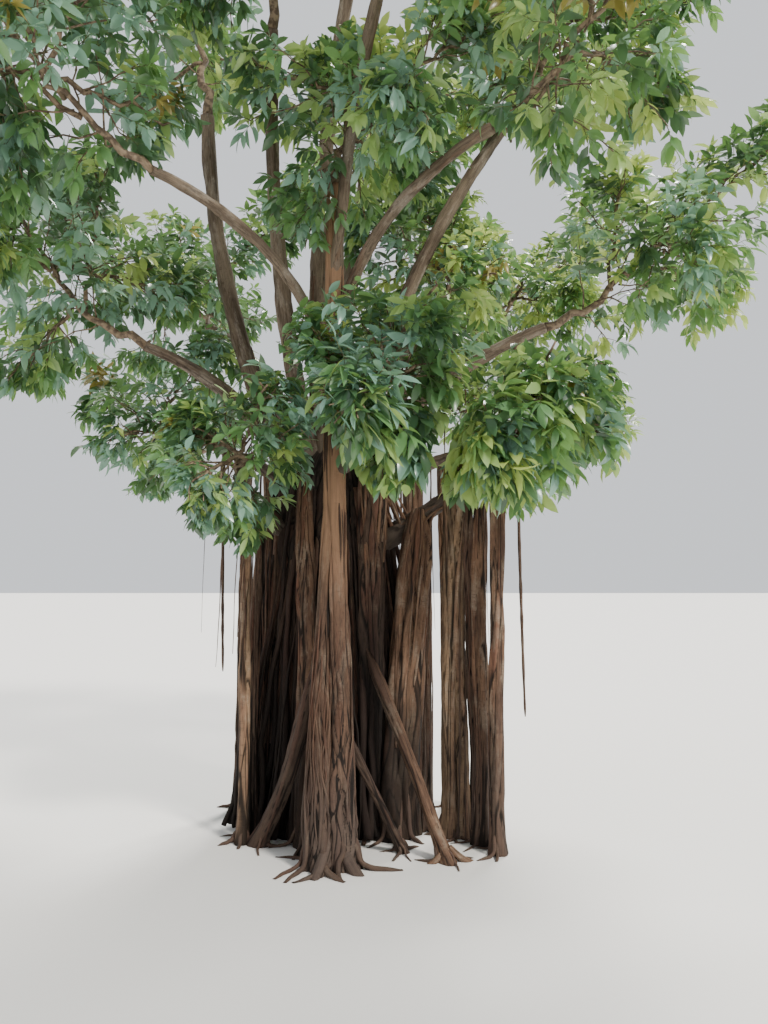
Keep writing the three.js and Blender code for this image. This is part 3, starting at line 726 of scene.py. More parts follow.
@dataclass
class Shell:
    """How the bark of one limb is made: its grid, its broad ribs and its fused strands. Rows bunch towards
    the foot. A collar swells where a bough leaves its stem. A limb may begin under its start, inside what
    carries it, run over its end and thin to nothing inside what it joins, sway, or have a deep cleft."""

    columns: int
    rows: int
    ribs: int
    depth: float
    fused: Fused = None
    bunch: float = 0.0
    collar: float = 0.0
    under: float = 0.0
    over: float = 0.0
    sway: float = 0.0
    cleft: tuple = None


def cut_cleft(cleft, around, height, girth, lift, crest):
    """A deep furrow where two strands have grown side by side, dark with painted shade: the side it is on,
    where it starts and ends, and its depth and half width."""
    side, low, high, deep, wide = cleft
    path = side + 0.14 * np.sin(height * 5.1 + side) + 0.05 * np.sin(height * 17)
    away = np.abs((around - path + math.pi) % FULL_TURN - math.pi) * girth
    share = ease(low, low + 0.25, height) * ease(high, high - 0.35, height)
    lift = lift - deep * share * np.exp(-((away / wide) ** 2))
    return lift, crest * (1 - share * ease(wide * 1.1, wide * 0.5, away))


def limb_shell(bm, limb, shell, seed):
    """A grid bent round a limb, with its relief, welded into a tube."""
    kinds = bm.verts.layers
    layers = [kinds.float_vector["grain"], kinds.float["rise"], kinds.float["tone"]]
    limb = limb.buried
    girth = (limb.root + limb.tip) / 2
    made = bmesh.ops.create_grid(bm, x_segments=shell.columns, y_segments=shell.rows, size=0.5)["verts"]
    place = np.array([v.co for v in made]) + 0.5
    around, share = place[:, 0] * FULL_TURN, mix(place[:, 1], place[:, 1] ** 2, shell.bunch)
    share = mix(-shell.under / limb.length, 1 + shell.over, share)
    along = share * limb.length
    height = along + limb.start[2]
    ridge = ribbed(around, height, shell.ribs, seed)
    lift = shell.depth * (ridge - 0.7)
    # Crest is low in the furrows between ribs and strands, where the bark takes painted shade.
    crest, tone = mix(1, ease(0.05, 0.5, ridge), min(1, shell.depth / 0.012)), np.full(len(made), 0.4)
    if shell.fused:
        stands, crease, tone = shell.fused.relief(around, height, girth, seed)
        lift = lift + stands - 0.3 * max(shell.fused.thick)
        bare = ease(shell.fused.reach[0] - 0.1, shell.fused.reach[1] + 0.2, height)
        crest = mix(crease, crest, bare)
    ring = np.stack([np.cos(around) * limb.root, np.sin(around) * limb.root, along], -1)
    lift += limb.root * 0.14 * (rough(ring * (6, 6, 3) + 3 * seed) - 0.5)
    lift += 0.006 * (rough(ring * (45, 45, 14) + seed) - 0.5)
    if shell.cleft:
        lift, crest = cut_cleft(shell.cleft, around, height, girth, lift, crest)
    if shell.collar:
        lift += shell.collar * np.exp(-(((along - 0.1) / 0.08) ** 2))
    if shell.under == 0 and limb.start[2] > 0:
        lift -= 0.5 * limb.root * np.exp(-along / 0.03)
    if shell.over:
        lift -= limb.radius(share) * ease(1 - shell.over, 1 + shell.over, share) * 0.999
    skin = limb.surface(share, around, lift)
    if shell.sway:
        bend = np.stack([rough_at(height * 1.6 + seed * 3.1, k, 0) - 0.5 for k in (2, 7)], -1)
        skin[:, :2] += bend * (2 * shell.sway * ease(0, 0.1, share) * ease(1, 0.9, share))[:, None]
    values = zip(skin.tolist(), (ring + 7 * seed).tolist(), crest.tolist(), tone.tolist())
    for vertex, (point, *kept) in zip(made, values):
        vertex.co = point
        for layer, value in zip(layers, kept):
            vertex[layer] = value
    seam = [v for v, x in zip(made, place[:, 0]) if x < TINY or x > 1 - TINY]
    bmesh.ops.remove_doubles(bm, verts=seam, dist=TINY)


def close_ends(bm):
    """Cuts at the ground and closes every open ring."""
    everything = bm.verts[:] + bm.edges[:] + bm.faces[:]
    ground = {"plane_co": (0, 0, 0), "plane_no": (0, 0, -1), "clear_outer": True}
    bmesh.ops.bisect_plane(bm, geom=everything, dist=TINY, **ground)
    for vertex in bm.verts:
        vertex.co.z = max(vertex.co.z, 0)
    bmesh.ops.holes_fill(bm, edges=[e for e in bm.edges if e.is_boundary], sides=0)
    bmesh.ops.recalc_face_normals(bm, faces=bm.faces)


def new_piece(name, mesh, material, nodes=()):
    """A finished piece that rides on the tree and stands for its solids."""
    mesh.polygons.foreach_set("use_smooth", np.ones(len(mesh.polygons), bool))
    mesh.materials.append(material)
    piece = put(name, mesh)
    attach(piece, "root")
    if nodes:
        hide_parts(*nodes)


def bark_piece(name, material, nodes, shells):
    """One piece of bark from several limbs; shells lists each limb with its shell and its seed."""
    bm = bmesh.new()
    bm.verts.layers.float_vector.new("grain")
    bm.verts.layers.float.new("rise")
    bm.verts.layers.float.new("tone")
    for limb, shell, seed in shells:
        limb_shell(bm, limb, shell, seed)
    close_ends(bm)
    mesh = bpy.data.meshes.new(name)
    bm.to_mesh(mesh)
    bm.free()
    new_piece(name, mesh, material, nodes)


TOE = Shell(26, 26, 3, 0.008)


def toe_shells(limbs, seed):
    return [(toe, TOE, seed + k) for k, toe in enumerate(limbs)]


POLE_CLEFT = (front_pole.side(0.4, (-0.63, -0.78, 0)), 0.6, 2.2, 0.03, 0.018)
RIB_CLEFT = (front_rib.side(0.5, (0.5, -0.87, 0)), 0.6, 2.0, 0.016, 0.014)
POLE_STRANDS = Fused(34, (0.006, 0.016), 0.06, (0.8, 1.7), calm=1.5)
RIB_STRANDS = Fused(25, (0.007, 0.018), 0.06, (0.7, 1.7), calm=1.5)
CORE_SHELL = Shell(280, 160, 22, 0.05, Fused(80, (0.012, 0.034), 0.06), bunch=0.3)
LEFT_SHELL = Shell(70, 170, 3, 0.012, Fused(14, (0.01, 0.026), 0.05, calm=2.0), bunch=0.3)
RIGHT_SHELL = Shell(130, 190, 5, 0.03, Fused(19, (0.014, 0.036), 0.07, calm=2.2), bunch=0.3)
MIDDLE_SHELL = Shell(110, 190, 4, 0.02, Fused(21, (0.01, 0.028), 0.06, calm=2.0), bunch=0.2)
BOUGH = Shell(28, 110, 3, 0.007, Fused(9, (0.008, 0.016), 0.06, (0.0, 9.0)), collar=0.012)
PILLAR = Shell(46, 130, 3, 0.012, Fused(9, (0.01, 0.026), 0.035, calm=3.0), bunch=0.2, sway=0.012)
PROP = Shell(34, 110, 3, 0.006, Fused(5, (0.01, 0.022), 0.03, calm=3.0), bunch=0.2, over=0.12)
HANGING = Shell(14, 90, 2, 0.003)
INSIDE_CORE = 0.14

bark_piece(
    "bark_front_stem",
    FRONT_BARK,
    ["trunk_front"],
    [
        (front_pole, Shell(130, 330, 5, 0.014, POLE_STRANDS, bunch=0.6, cleft=POLE_CLEFT), 1),
        (front_rib, Shell(110, 200, 4, 0.016, RIB_STRANDS, bunch=0.5, cleft=RIB_CLEFT), 2),
        *toe_shells(trunk["trunk_front"][2:], 3),
    ],
)
core_shells = [(core, CORE_SHELL, 8), *toe_shells(trunk["trunk_core"][1:], 9)]
bark_piece("bark_core", SHADED_BARK, ["trunk_core"], core_shells)
stem_shells = [(stem_left, LEFT_SHELL, 15), (stem_right, RIGHT_SHELL, 16)]
bark_piece("bark_stems_lit", STEM_BARK, ["stem_left", "stem_right"], stem_shells)
middle_shells = [(stem_middle, MIDDLE_SHELL, 17)]
bark_piece("bark_stem_middle", HOLLOW_SHADE_BARK, ["stem_middle"], middle_shells)
bough_shells = [
    (limb, replace(BOUGH, under=INSIDE_CORE if limb.start[1] > 0.5 else 0), 20 + k)
    for k, (limb,) in enumerate(boughs.values())
]
bark_piece("bark_boughs", BOUGH_BARK, list(boughs), bough_shells)


def pillar_piece(name, material, nodes):
    """The bark of several pillars, some of them pairs."""
    shells = []
    for k, node in enumerate(nodes):
        shells += [(limb, PILLAR, 40 + 2 * k + j) for j, limb in enumerate(pillars[node])]
    bark_piece(name, material, nodes, shells)


SHADED_PILLARS = ["pillar_left_inner", "pillar_right_slim"]
# Pillars that take painted light.
PAINTED_LIGHT_PILLARS = ["pillar_right_lit", "pillar_left_outer"]
lit_pillars = [name for name in pillars if name not in SHADED_PILLARS + PAINTED_LIGHT_PILLARS]
pillar_piece("bark_pillars_lit", LIT_BARK, lit_pillars)
pillar_piece("bark_pillars_painted_light", PAINTED_LIGHT_BARK, PAINTED_LIGHT_PILLARS)
pillar_piece("bark_pillars_shaded", ROOT_BARK, SHADED_PILLARS)
long_shells = [(prop_long, PROP, 70), *toe_shells(props["prop_root_long"][1:], 71)]
bark_piece("bark_prop_long", PROP_BARK, ["prop_root_long"], long_shells)
other_shells = [(prop_short, PROP, 76), (prop_left, replace(PROP, over=0.16), 74)]
other_nodes = ["prop_root_short", "prop_root_left"]
bark_piece("bark_props_shaded", PROP_SHADED_BARK, other_nodes, other_shells)
hanging_shells = [(limb, HANGING, 80 + k) for k, (limb,) in enumerate(hanging_roots.values())]
bark_piece("bark_hanging_roots", ROOT_BARK, list(hanging_roots), hanging_shells)


# Thin things made in numbers: strands of root, and twigs.
def tubes(lines, radii, sides):
    """Closed tubes along lines of points, as vertices, walls, ends and grain. lines is (tube, step, 3) and
    radii (tube, step)."""
    count, steps = radii.shape
    tangent = unit(np.gradient(lines, axis=1))
    reference = np.where(np.abs(tangent[:, :1, 2:]) > 0.9, X_AXIS, Z_AXIS)
    first = unit(np.cross(tangent, np.broadcast_to(reference, tangent.shape)))
    second = np.cross(tangent, first)
    around = np.arange(sides) * FULL_TURN / sides
    ring = first[:, :, None] * np.cos(around)[:, None] + second[:, :, None] * np.sin(around)[:, None]
    skin = lines[:, :, None] + ring * radii[:, :, None, None]
    pieces = np.linalg.norm(np.diff(lines, axis=1), axis=-1)
    along = np.concatenate([np.zeros((count, 1)), np.cumsum(pieces, 1)], 1)
    grain = np.empty(skin.shape)
    grain[..., 0] = np.cos(around) * radii[:, :, None] + np.arange(count)[:, None, None] * 0.7
    grain[..., 1] = np.sin(around) * radii[:, :, None]
    grain[..., 2] = along[:, :, None]
    vertices = np.concatenate([skin.reshape(count, -1, 3), lines[:, [0, -1]]], 1)
    grains = np.concatenate([grain.reshape(count, -1, 3), np.zeros((count, 2, 3))], 1)
    rows, columns = np.meshgrid(np.arange(steps - 1), np.arange(sides), indexing="ij")
    here, there = rows * sides + columns, rows * sides + (columns + 1) % sides
    walls = np.stack([here, here + sides, there + sides, there], -1).reshape(-1, 4)
    k = np.arange(sides)
    last = (steps - 1) * sides
    foot = np.stack([np.full(sides, steps * sides), k, (k + 1) % sides], -1)
    top = np.stack([np.full(sides, steps * sides + 1), last + (k + 1) % sides, last + k], -1)
    return vertices, walls, np.concatenate([foot, top]), grains


def mesh_from(name, vertices, quads, triangles, grains=None):
    """A mesh from the same faces repeated over every copy. vertices is (copy, vertex, 3)."""
    count, each = vertices.shape[:2]
    shift = np.arange(count)[:, None, None] * each
    loops = np.concatenate([(faces + shift).reshape(-1) for faces in (quads, triangles)])
    sizes = np.concatenate([np.full(count * len(faces), faces.shape[1]) for faces in (quads, triangles)])
    mesh = bpy.data.meshes.new(name)
    mesh.vertices.add(count * each)
    mesh.vertices.foreach_set("co", vertices.reshape(-1).astype(np.float32))
    mesh.loops.add(len(loops))
    mesh.loops.foreach_set("vertex_index", loops.astype(np.int32))
    mesh.polygons.add(len(sizes))
    starts = np.concatenate([[0], np.cumsum(sizes)[:-1]])
    mesh.polygons.foreach_set("loop_start", starts.astype(np.int32))
    if grains is not None:
        grain = mesh.attributes.new("grain", "FLOAT_VECTOR", "POINT")
        grain.data.foreach_set("vector", grains.reshape(-1).astype(np.float32))
        tones = np.random.default_rng(len(name)).random(count)
        for key, values in (("rise", np.ones(count * each)), ("tone", np.repeat(tones, each))):
            layer = mesh.attributes.new(key, "FLOAT", "POINT")
            layer.data.foreach_set("value", values.astype(np.float32))
    mesh.update(calc_edges=True)
    mesh.validate()
    return mesh


STRAND_STEPS = 36
SMOOTHED_OVER = 9


def strand(points, wobble, rng, thick, thin):
    """A smooth wandering line through a few points, with its radii from thick to thin."""
    points = np.array(points, float)
    stops = np.linspace(0, 1, len(points))
    shares = np.linspace(0, 1, STRAND_STEPS)
    eased = np.stack([np.interp(shares, stops, points[:, k]) for k in range(3)], -1)
    kernel = np.hanning(SMOOTHED_OVER) / np.hanning(SMOOTHED_OVER).sum()
    beyond = SMOOTHED_OVER // 2
    padded = np.concatenate([np.repeat(eased[:1], beyond, 0), eased, np.repeat(eased[-1:], beyond, 0)])
    smooth = np.stack([np.convolve(padded[:, k], kernel, "valid") for k in range(3)], -1)
    length = np.linalg.norm(points[-1] - points[0])
    offset = rng.random(3) * 20
    sway = np.stack([rough_at(shares * length * 2.2 + o, 0, o) for o in offset], -1)
    fine = np.stack([rough_at(shares * length * 7 + o, o, 0) for o in offset], -1)
    line = smooth + ((sway - 0.5) * 1.0 + (fine - 0.5) * 0.3) * (wobble, wobble, wobble * 0.2)
    return line, mix(thick, thin, shares)


def strands_piece(name, material, strands, sides=8):
    """Strands of aerial root as one piece: each thickens and thins unevenly along its way."""
    lines, radii = (np.array(part) for part in zip(*strands))
    place = np.cumsum(np.linalg.norm(np.gradient(lines, axis=1), axis=-1), 1)
    radii = radii * (0.75 + 0.5 * rough_at(place * 6, np.arange(len(lines))[:, None] * 1.7, 0))
    vertices, walls, ends, grains = tubes(lines, radii, sides)
    vertices[..., 2] = np.maximum(vertices[..., 2], 0)
    new_piece(name, mesh_from(name, vertices, walls, ends, grains), material)


def ways_round(rng, count, loose=1.0):
    """Ways round a limb, spread unevenly."""
    for k in range(count):
        yield FULL_TURN * (k + rng.random() * loose) / count


def core_strands():
    """Roots that run down the core, part sunk in it, some standing free of it."""
    rng = np.random.default_rng(31)
    for around in ways_round(rng, 110):
        top, thick = rng.uniform(0.72, 0.97), rng.uniform(0.006, 0.021)
        lift = rng.choice([0.0, 0.02, 0.05, 0.09]) + thick * 0.3
        slant = rng.normal(0, 0.16)
        shares = np.linspace(top, 0, 7)
        spreads = lift * np.array([0.1, 0.6, 1, 1, 1, 1, 1.15]) * rng.uniform(0.8, 1.2, 7)
        points = core.surface(shares, around + slant * (1 - shares / top), spreads)
        points[-1, 2] = -0.01
        yield strand(points, 0.03, rng, thick * 0.8, thick * 1.25)


def front_strands():
    """Roots fused to the front stem, crossing each other."""
    rng = np.random.default_rng(32)
    for around in ways_round(rng, 90, 0.8):
        carrier = front_rib if math.cos(around) < -0.2 else front_pole
        top, low = rng.uniform(0.5, 1.75), rng.uniform(0.05, 0.4)
        thick = rng.choice([0.0035, 0.0055, 0.0085])
        slant = rng.normal(0, 0.7)
        shares = np.linspace(top, low, 9) / carrier.length
        weave = slant * np.linspace(0, 1, 9)
        weave += 0.25 * np.sin(np.linspace(0, rng.uniform(4, 9), 9) + rng.random() * 6)
        lift = 0.009 + np.array([-0.02, 0, 0, 0, 0, 0, 0, 0, -0.02])
        yield strand(carrier.surface(shares, around + weave, lift), 0.012, rng, thick * 0.8, thick)


# How a finger root runs out over the ground: shares of its reach, and its height in its own radii.
FOOT_ROOT_WAY = ((0.1, 1.6), (0.35, 0.6), (0.68, 0.3), (1.0, -0.8))


def foot_roots(carrier, count, start, reach, thick, rng):
    """Finger roots that run down a foot and out over the ground, and dive into it."""
    centre = carrier.point(0.0)
    for around in ways_round(rng, count, 0.7):
        high = rng.uniform(0.4, 1) * start / carrier.length
        lift = thick * np.array([-1.6, -0.1, 0.1])
        down = carrier.surface(high * np.array([1, 0.6, 0.3]), around + rng.normal(0, 0.12, 3), lift)
        out = down[2] - centre
        out[2] = 0
        wide = np.linalg.norm(out)
        out /= max(wide, TINY)
        side = np.cross(Z_AXIS, out) * rng.normal(0, 0.3)
        run = reach * rng.uniform(0.45, 1)
        r = thick * rng.uniform(0.6, 1.2)
        ground = [
            centre + out * (wide + run * far) + side * run * far**2 + Z_AXIS * r * up
            for far, up in FOOT_ROOT_WAY
        ]
        yield strand([*down, *ground], 0.02, rng, r, r * 0.7)


def all_foot_roots():
    """Finger roots for every foot that stands on the ground."""
    rng = np.random.default_rng(38)
    feet = [(front_pole, 8, 0.36, 0.25, 0.024), (front_rib, 6, 0.32, 0.22, 0.021)]
    feet += [(stem, 7, 0.3, 0.22, 0.018) for stem in (stem_left, stem_middle, stem_right)]
    feet += [(limb, 4, 0.18, 0.15, 0.013) for limbs in pillars.values() for limb in limbs]
    feet += [(limbs[0], 4, 0.16, 0.16, 0.012) for limbs in props.values()]
    for foot in feet:
        yield from foot_roots(*foot, rng)


def crown_strands():
    """Roots that join the rounded tops of the right stems to the bough above them."""
    rng = np.random.default_rng(36)
    carrier = boughs["bough_low_right"][0]
    for stem, joins, lowest in ((stem_right, (0.16, 0.52), 0.2), (stem_middle, (0.0, 0.2), 0.6)):
        for around in ways_round(rng, 20):
            thick = rng.uniform(0.006, 0.015)
            shares = np.linspace(0.97, rng.uniform(lowest, 0.75), 5)
            lift = thick * np.array([0.3, 0.3, 0.3, 0.2, -1.6])
            rest = stem.surface(shares, around + np.linspace(0, rng.normal(0, 0.7), 5), lift)
            meets = carrier.surface(rng.uniform(*joins), rng.uniform(0, FULL_TURN), -0.004)
            yield strand([meets, *rest], 0.014, rng, thick * 0.8, thick * 0.9)


def curtain_roots():
    """Roots that stand round the core from the ground up to the boughs."""
    rng = np.random.default_rng(33)
    middle_of_core = np.array([*CORE_FOOT, 0])
    for around in ways_round(rng, 64):
        reach = rng.uniform(1.04, 1.34)
        out = np.array([math.cos(around), math.sin(around), 0])
        foot = middle_of_core + (0.5 * reach * out[0], 0.34 * reach * out[1], -0.01)
        high = rng.uniform(1.9, 2.45)
        top = middle_of_core + (0.3 * out[0], 0.2 * out[1], high)
        middle = mix(foot, top, 0.5) + (0.05 * out[0], 0.04 * out[1], 0)
        low = foot * (1, 1, 0) + (rng.normal(0, 0.015), rng.normal(0, 0.015), 0.5)
        thick = rng.choice([0.006, 0.009, 0.013, 0.019])
        yield strand([top, middle, low, foot], 0.05, rng, thick * 0.8, thick * 1.1)


DROPS = {"low_left": 18, "low_right": 18, "low_back_left": 12, "low_back_right": 12}
DROPS |= {"left": 3, "right": 3, "back_left": 5, "back_right": 5}


def bough_drops():
    """Thin roots that hang from the low boughs, some down to the ground."""
    rng = np.random.default_rng(34)
    for name, count in DROPS.items():
        for share in rng.uniform(0.12, 0.9, count):
            top = boughs["bough_" + name][0].point(share)
            reaches = "low" in name and share < 0.7 and rng.random() < 0.7
            end = -0.01 if reaches else top[2] * rng.uniform(0.35, 0.75)
            drift = rng.normal(0, 0.03, 2)
            foot = np.array([top[0] + drift[0], top[1] + drift[1], end])
            thick = rng.uniform(0.0028, 0.0075)
            thin = thick * (0.9 if reaches else 0.35)
            yield strand([top, mix(top, foot, 0.5), foot], 0.022, rng, thick, thin)


def bough_strands():
    """Roots that leave the stem's side and climb along the boughs that rise from it."""
    rng = np.random.default_rng(35)
    turned = np.array([0.5, 0.2, 0])
    for name, mass in masses.items():
        if mass.at is None:
            continue
        limb = boughs["bough_" + name][0]
        if mass.at[1] < 0.5:
            rest = mass.at[2] / front_pole.length
            leaves = math.atan2(*(limb.tangent(0.0) @ np.stack(front_pole.axes(rest))[[1, 0]].T))
            for _ in range(6):
                thick, turn = rng.uniform(0.004, 0.009), rng.uniform(0, FULL_TURN)
                climb = limb.surface(np.array([0.3, 0.18, 0.1]) * rng.uniform(0.6, 1.2), turn + turned, 0.0)
                shares = rest - np.array([0.03, 0.07, 0.12]) * rng.uniform(0.7, 1.3)
                side = leaves + rng.normal(0, 0.4) + np.array([0, 0.1, 0.1])
                low = front_pole.surface(shares, side, (0.002, 0, -0.014))
                yield strand([*climb, *low], 0.008, rng, thick * 0.6, thick)
            continue
        around = math.atan2((mass.at[1] - CORE_FOOT[1]) / core.flat, mass.at[0] - CORE_FOOT[0])
        for _ in range(7):
            thick = rng.uniform(0.008, 0.02)
            turn = rng.uniform(0, FULL_TURN)
            climb = limb.surface(np.array([0.34, 0.2, 0.08]) * rng.uniform(0.6, 1.2), turn + turned, -0.003)
            side = around + rng.normal(0, 0.35) + np.array([0, 0.05, 0.1, 0.1])
            low = core.surface(np.array([0.78, 0.62, 0.4, 0.2]), side, -0.004)
            yield strand([*climb, *low], 0.012, rng, thick * 0.5, thick)


strands_piece("root_strands_boughs", ROOT_BARK, bough_strands())
strands_piece("root_strands_core", SHADED_BARK, core_strands())
strands_piece("root_strands_front", FRONT_BARK, front_strands())
strands_piece("root_fingers", LIT_BARK, all_foot_roots())
strands_piece("root_strands_crown", LIT_BARK, crown_strands())
strands_piece("root_curtain", HOLLOW_SHADE_BARK, curtain_roots())
strands_piece("root_drops", ROOT_BARK, bough_drops(), sides=6)


# Twigs.
LEAST_TWIGS = 3
TWIGS_PER_METRE = 2.8
STEM_RADIUS = 0.9
TWIG_RADIUS = 0.016
TWIG_TIP = 0.006


@dataclass
class Twigs:
    """A set of twigs: one bow each, the mass each is in, its thickness at either end and its spray."""

    start: np.ndarray
    middle: np.ndarray
    end: np.ndarray
    mass: np.ndarray
    root: np.ndarray
    tip: np.ndarray
    spray: np.ndarray

    def point(self, share):
        return bow_point((self.start, self.middle, self.end), share)

    def tangent(self, share):
        return bow_tangent((self.start, self.middle, self.end), share)

    @property
    def length(self):
        return np.linalg.norm(self.end - self.start, axis=-1)

    def pick(self, chosen):
        return Twigs(*[getattr(self, key)[chosen] for key in self.__dataclass_fields__])


def join(*sets):
    return Twigs(*[np.concatenate([getattr(s, key) for s in sets]) for key in Twigs.__dataclass_fields__])


def even_direction(k, count, turn):
    """The k-th of count directions spread evenly over a ball."""
    z = 1 - 2 * (count - k - 0.5) / count
    around = turn + k * GOLDEN_ANGLE
    flat = math.sqrt(1 - z * z)
    return np.array([flat * math.cos(around), flat * math.sin(around), z])


def skeleton(place):
    """The stem of a mass and the twigs that leave it, just as the solids have them."""
    name = MASS_NAMES[place]
    mass = masses[name]
    random = seeded(101 + 37 * place)
    centre, half = CENTRES[place], HALVES[place]
    limb = boughs["bough_" + name][0] if mass.at else front_pole
    end, direction = np.array(limb.end), limb.tangent(1.0)
    foot = end + direction * CLEARANCE
    hub = mix(centre, foot, -0.2)
    bow = end + direction * np.linalg.norm(foot - hub) / 2
    stem = Limb(foot, hub, limb.tip * STEM_RADIUS, TWIG_RADIUS, bow - mix(foot, hub, 0.5))
    turn = random() * FULL_TURN
    count = math.floor(LEAST_TWIGS + TWIGS_PER_METRE * half.mean() + 0.5)
    twigs = []
    for k in range(count):
        outward = even_direction(k, count, turn)
        start = stem.point(mix(0.35, 1, random()))
        tip = centre + outward * half * mix(0.74, 0.9, random())
        rise = np.linalg.norm(tip - start) * mix(0.02, 0.12, random())
        marks = Limb(start, tip, 0, 0, (0, 0, rise)).point(np.array([0.12, 0.25, 0.5, 0.75, 1]))
        kept = in_own_space(place, marks[1:]).all()
        if kept and not any(touches_limb(a, b, TWIG_RADIUS) for a, b in zip(marks, marks[1:])):
            twigs.append((start, mix(start, tip, 0.5) + rise * Z_AXIS, tip))
    return stem, twigs


stems, main_twigs, main_mass = [], [], []
for place in range(len(masses)):
    stem, twigs = skeleton(place)
    stems.append(stem)
    main_twigs += twigs
    main_mass += [place] * len(twigs)

mains = Twigs(
    *[np.array([twig[k] for twig in main_twigs]) for k in range(3)],
    mass=np.array(main_mass),
    root=np.full(len(main_twigs), TWIG_RADIUS),
    tip=np.full(len(main_twigs), TWIG_TIP),
    spray=np.arange(len(main_twigs)),
)
stem_twigs = Twigs(
    *[np.array([stem.knots[k] for stem in stems]) for k in range(3)],
    mass=np.arange(len(stems)),
    root=np.array([stem.root for stem in stems]),
    tip=np.full(len(stems), TWIG_RADIUS * 0.6),
    spray=np.arange(len(stems)) + len(main_twigs),
)

growth = np.random.default_rng(51)


def square_to(tangent, roll):
    """The direction square to a tangent, turned round it by roll."""
    first = unit(np.cross(tangent, np.where(np.abs(tangent[..., 2:]) > 0.9, X_AXIS, Z_AXIS)))
    second = np.cross(tangent, first)
    return first * np.cos(roll)[..., None] + second * np.sin(roll)[..., None]


def branch(parents, count, first, length, lean, rise, root, tip, own_spray=False):
    """Twigs that leave their parents in a spiral and reach out, shorter towards the parent's tip."""
    n = len(parents.start)
    step = (np.arange(count) + growth.random((n, count)) * 0.7) / count
    share = mix(first, 1.0, step)
    roll = np.arange(count) * GOLDEN_ANGLE + growth.random((n, 1)) * FULL_TURN
    roll = roll + growth.normal(0, 0.3, (n, count))
    rows = np.repeat(np.arange(n), count)
    repeated = parents.pick(rows)
    share, roll = share.reshape(-1), roll.reshape(-1)
    start, tangent = repeated.point(share), repeated.tangent(share)
    ahead = lean * mix(0.7, 1.8, share)
    outward = unit((start - CENTRES[repeated.mass]) / HALVES[repeated.mass])
    direction = unit(tangent * ahead[:, None] + square_to(tangent, roll) + outward * 0.35 + rise * Z_AXIS)
    reach = length * mix(1.15, 0.6, share) * growth.uniform(0.7, 1.25, len(rows))
    kept = np.zeros(len(rows), bool)
    end = start.copy()
    for shorten in (1, 0.72, 0.5):
        trial = start + direction * (reach * shorten)[:, None]
        inside = ((trial > CAD_LOW + 0.01) & (trial < CAD_HIGH - 0.01)).all(1)
        good = ~kept & in_uneven_space(repeated.mass, trial) & inside & ~hides_stem(trial)
        spots = mix(start[good], trial[good], 0.6)
        fits = clear_of_limbs(trial[good], LEAF_ROOM) & clear_of_limbs(spots, root)
        chosen = np.flatnonzero(good)[fits]
        end[chosen] = trial[chosen]
        kept[chosen] = True
    sag = (growth.normal(0, 0.06, (len(rows), 3)) + 0.06 * Z_AXIS) * reach[:, None]
    thick, thin = np.full(len(rows), root), np.full(len(rows), tip)
    spray = np.arange(len(rows)) if own_spray else repeated.spray
    return Twigs(start, (start + end) / 2 + sag, end, repeated.mass, thick, thin, spray).pick(kept)


low_mains = mains.pick(np.isin(mains.mass, LOW_MASSES))
drooping = branch(low_mains, 5, 0.3, 0.4, 0.6, -0.8, 0.0065, 0.003, own_spray=True)
branchlets = branch(join(mains, stem_twigs), 14, 0.2, 0.44, 0.8, 0.08, 0.0065, 0.003, own_spray=True)
# Gaps: branchlets are left off where the light has come through.
openness = rough(branchlets.end * 1.5 + 4)
branchlets = branchlets.pick(openness > np.where(branchlets.end[:, 2] < 3.6, 0.24, 0.3))
drooping.spray += branchlets.spray.max() + 1
branchlets = join(branchlets, drooping)
fine_twigs = branch(branchlets, 6, 0.22, 0.23, 0.8, 0.03, 0.003, 0.0014)


def twig_piece(name, material, twigs, steps, sides, seed):
    """Twigs with a slight kink at each step, as closed tubes."""
    shares = np.linspace(0, 1, steps)
    lines = twigs.point(np.broadcast_to(shares[:, None], (steps, len(twigs.start)))).transpose(1, 0, 2)
    kink = np.random.default_rng(seed).normal(0, 0.02, lines.shape) * twigs.length[:, None, None]
    kink[:, [0, -1]] = 0
    radii = mix(twigs.root[:, None], twigs.tip[:, None], shares**0.8)
    vertices, walls, ends, _ = tubes(lines + kink, radii, sides)
    new_piece(name, mesh_from(name, vertices, walls, ends), material, FOLIAGE_NODES)


twig_piece("twigs_main", TWIG_BARK, join(mains, stem_twigs), 12, 8, 61)
twig_piece("twigs_branching", TWIG_BARK, branchlets, 6, 5, 62)
twig_piece("twigs_fine", GREEN_TWIG, fine_twigs, 4, 3, 63)

# Leaves. Each is a folded, drooping blade: shares of its length along, half widths across, and its droop.
LEAF_LENGTH = 0.135
LEAF_WIDTH = 0.38
LEAVES_ON_TWIG = 8
LEAF_LEVEL = 0.55
LEAF_HANG = 0.45
SPINE = np.array([0.0, 0.2, 0.5, 0.78, 1.0])
HALF_WIDTHS = np.array([0.37, 0.5, 0.31])
DROOP = np.array([0.0, 0.012, -0.02, -0.085, -0.18])
FOLD = 0.24
BLADE_TRIANGLES = np.array([(0, 1, 5), (0, 8, 1), (4, 7, 3), (4, 3, 10)])
BLADE_QUADS = np.array([(1, 2, 6, 5), (2, 3, 7, 6), (1, 8, 9, 2), (2, 9, 10, 3)])


def blade_vertices():
    """The vertices of one leaf of unit length: its spine, then its left and right edges."""
    spine = np.stack([SPINE * 0, SPINE, DROOP], -1)
    wide = HALF_WIDTHS * LEAF_WIDTH
    left = np.stack([-wide, SPINE[1:-1], DROOP[1:-1] + wide * FOLD], -1)
    return np.concatenate([spine, left, left * (-1, 1, 1)])


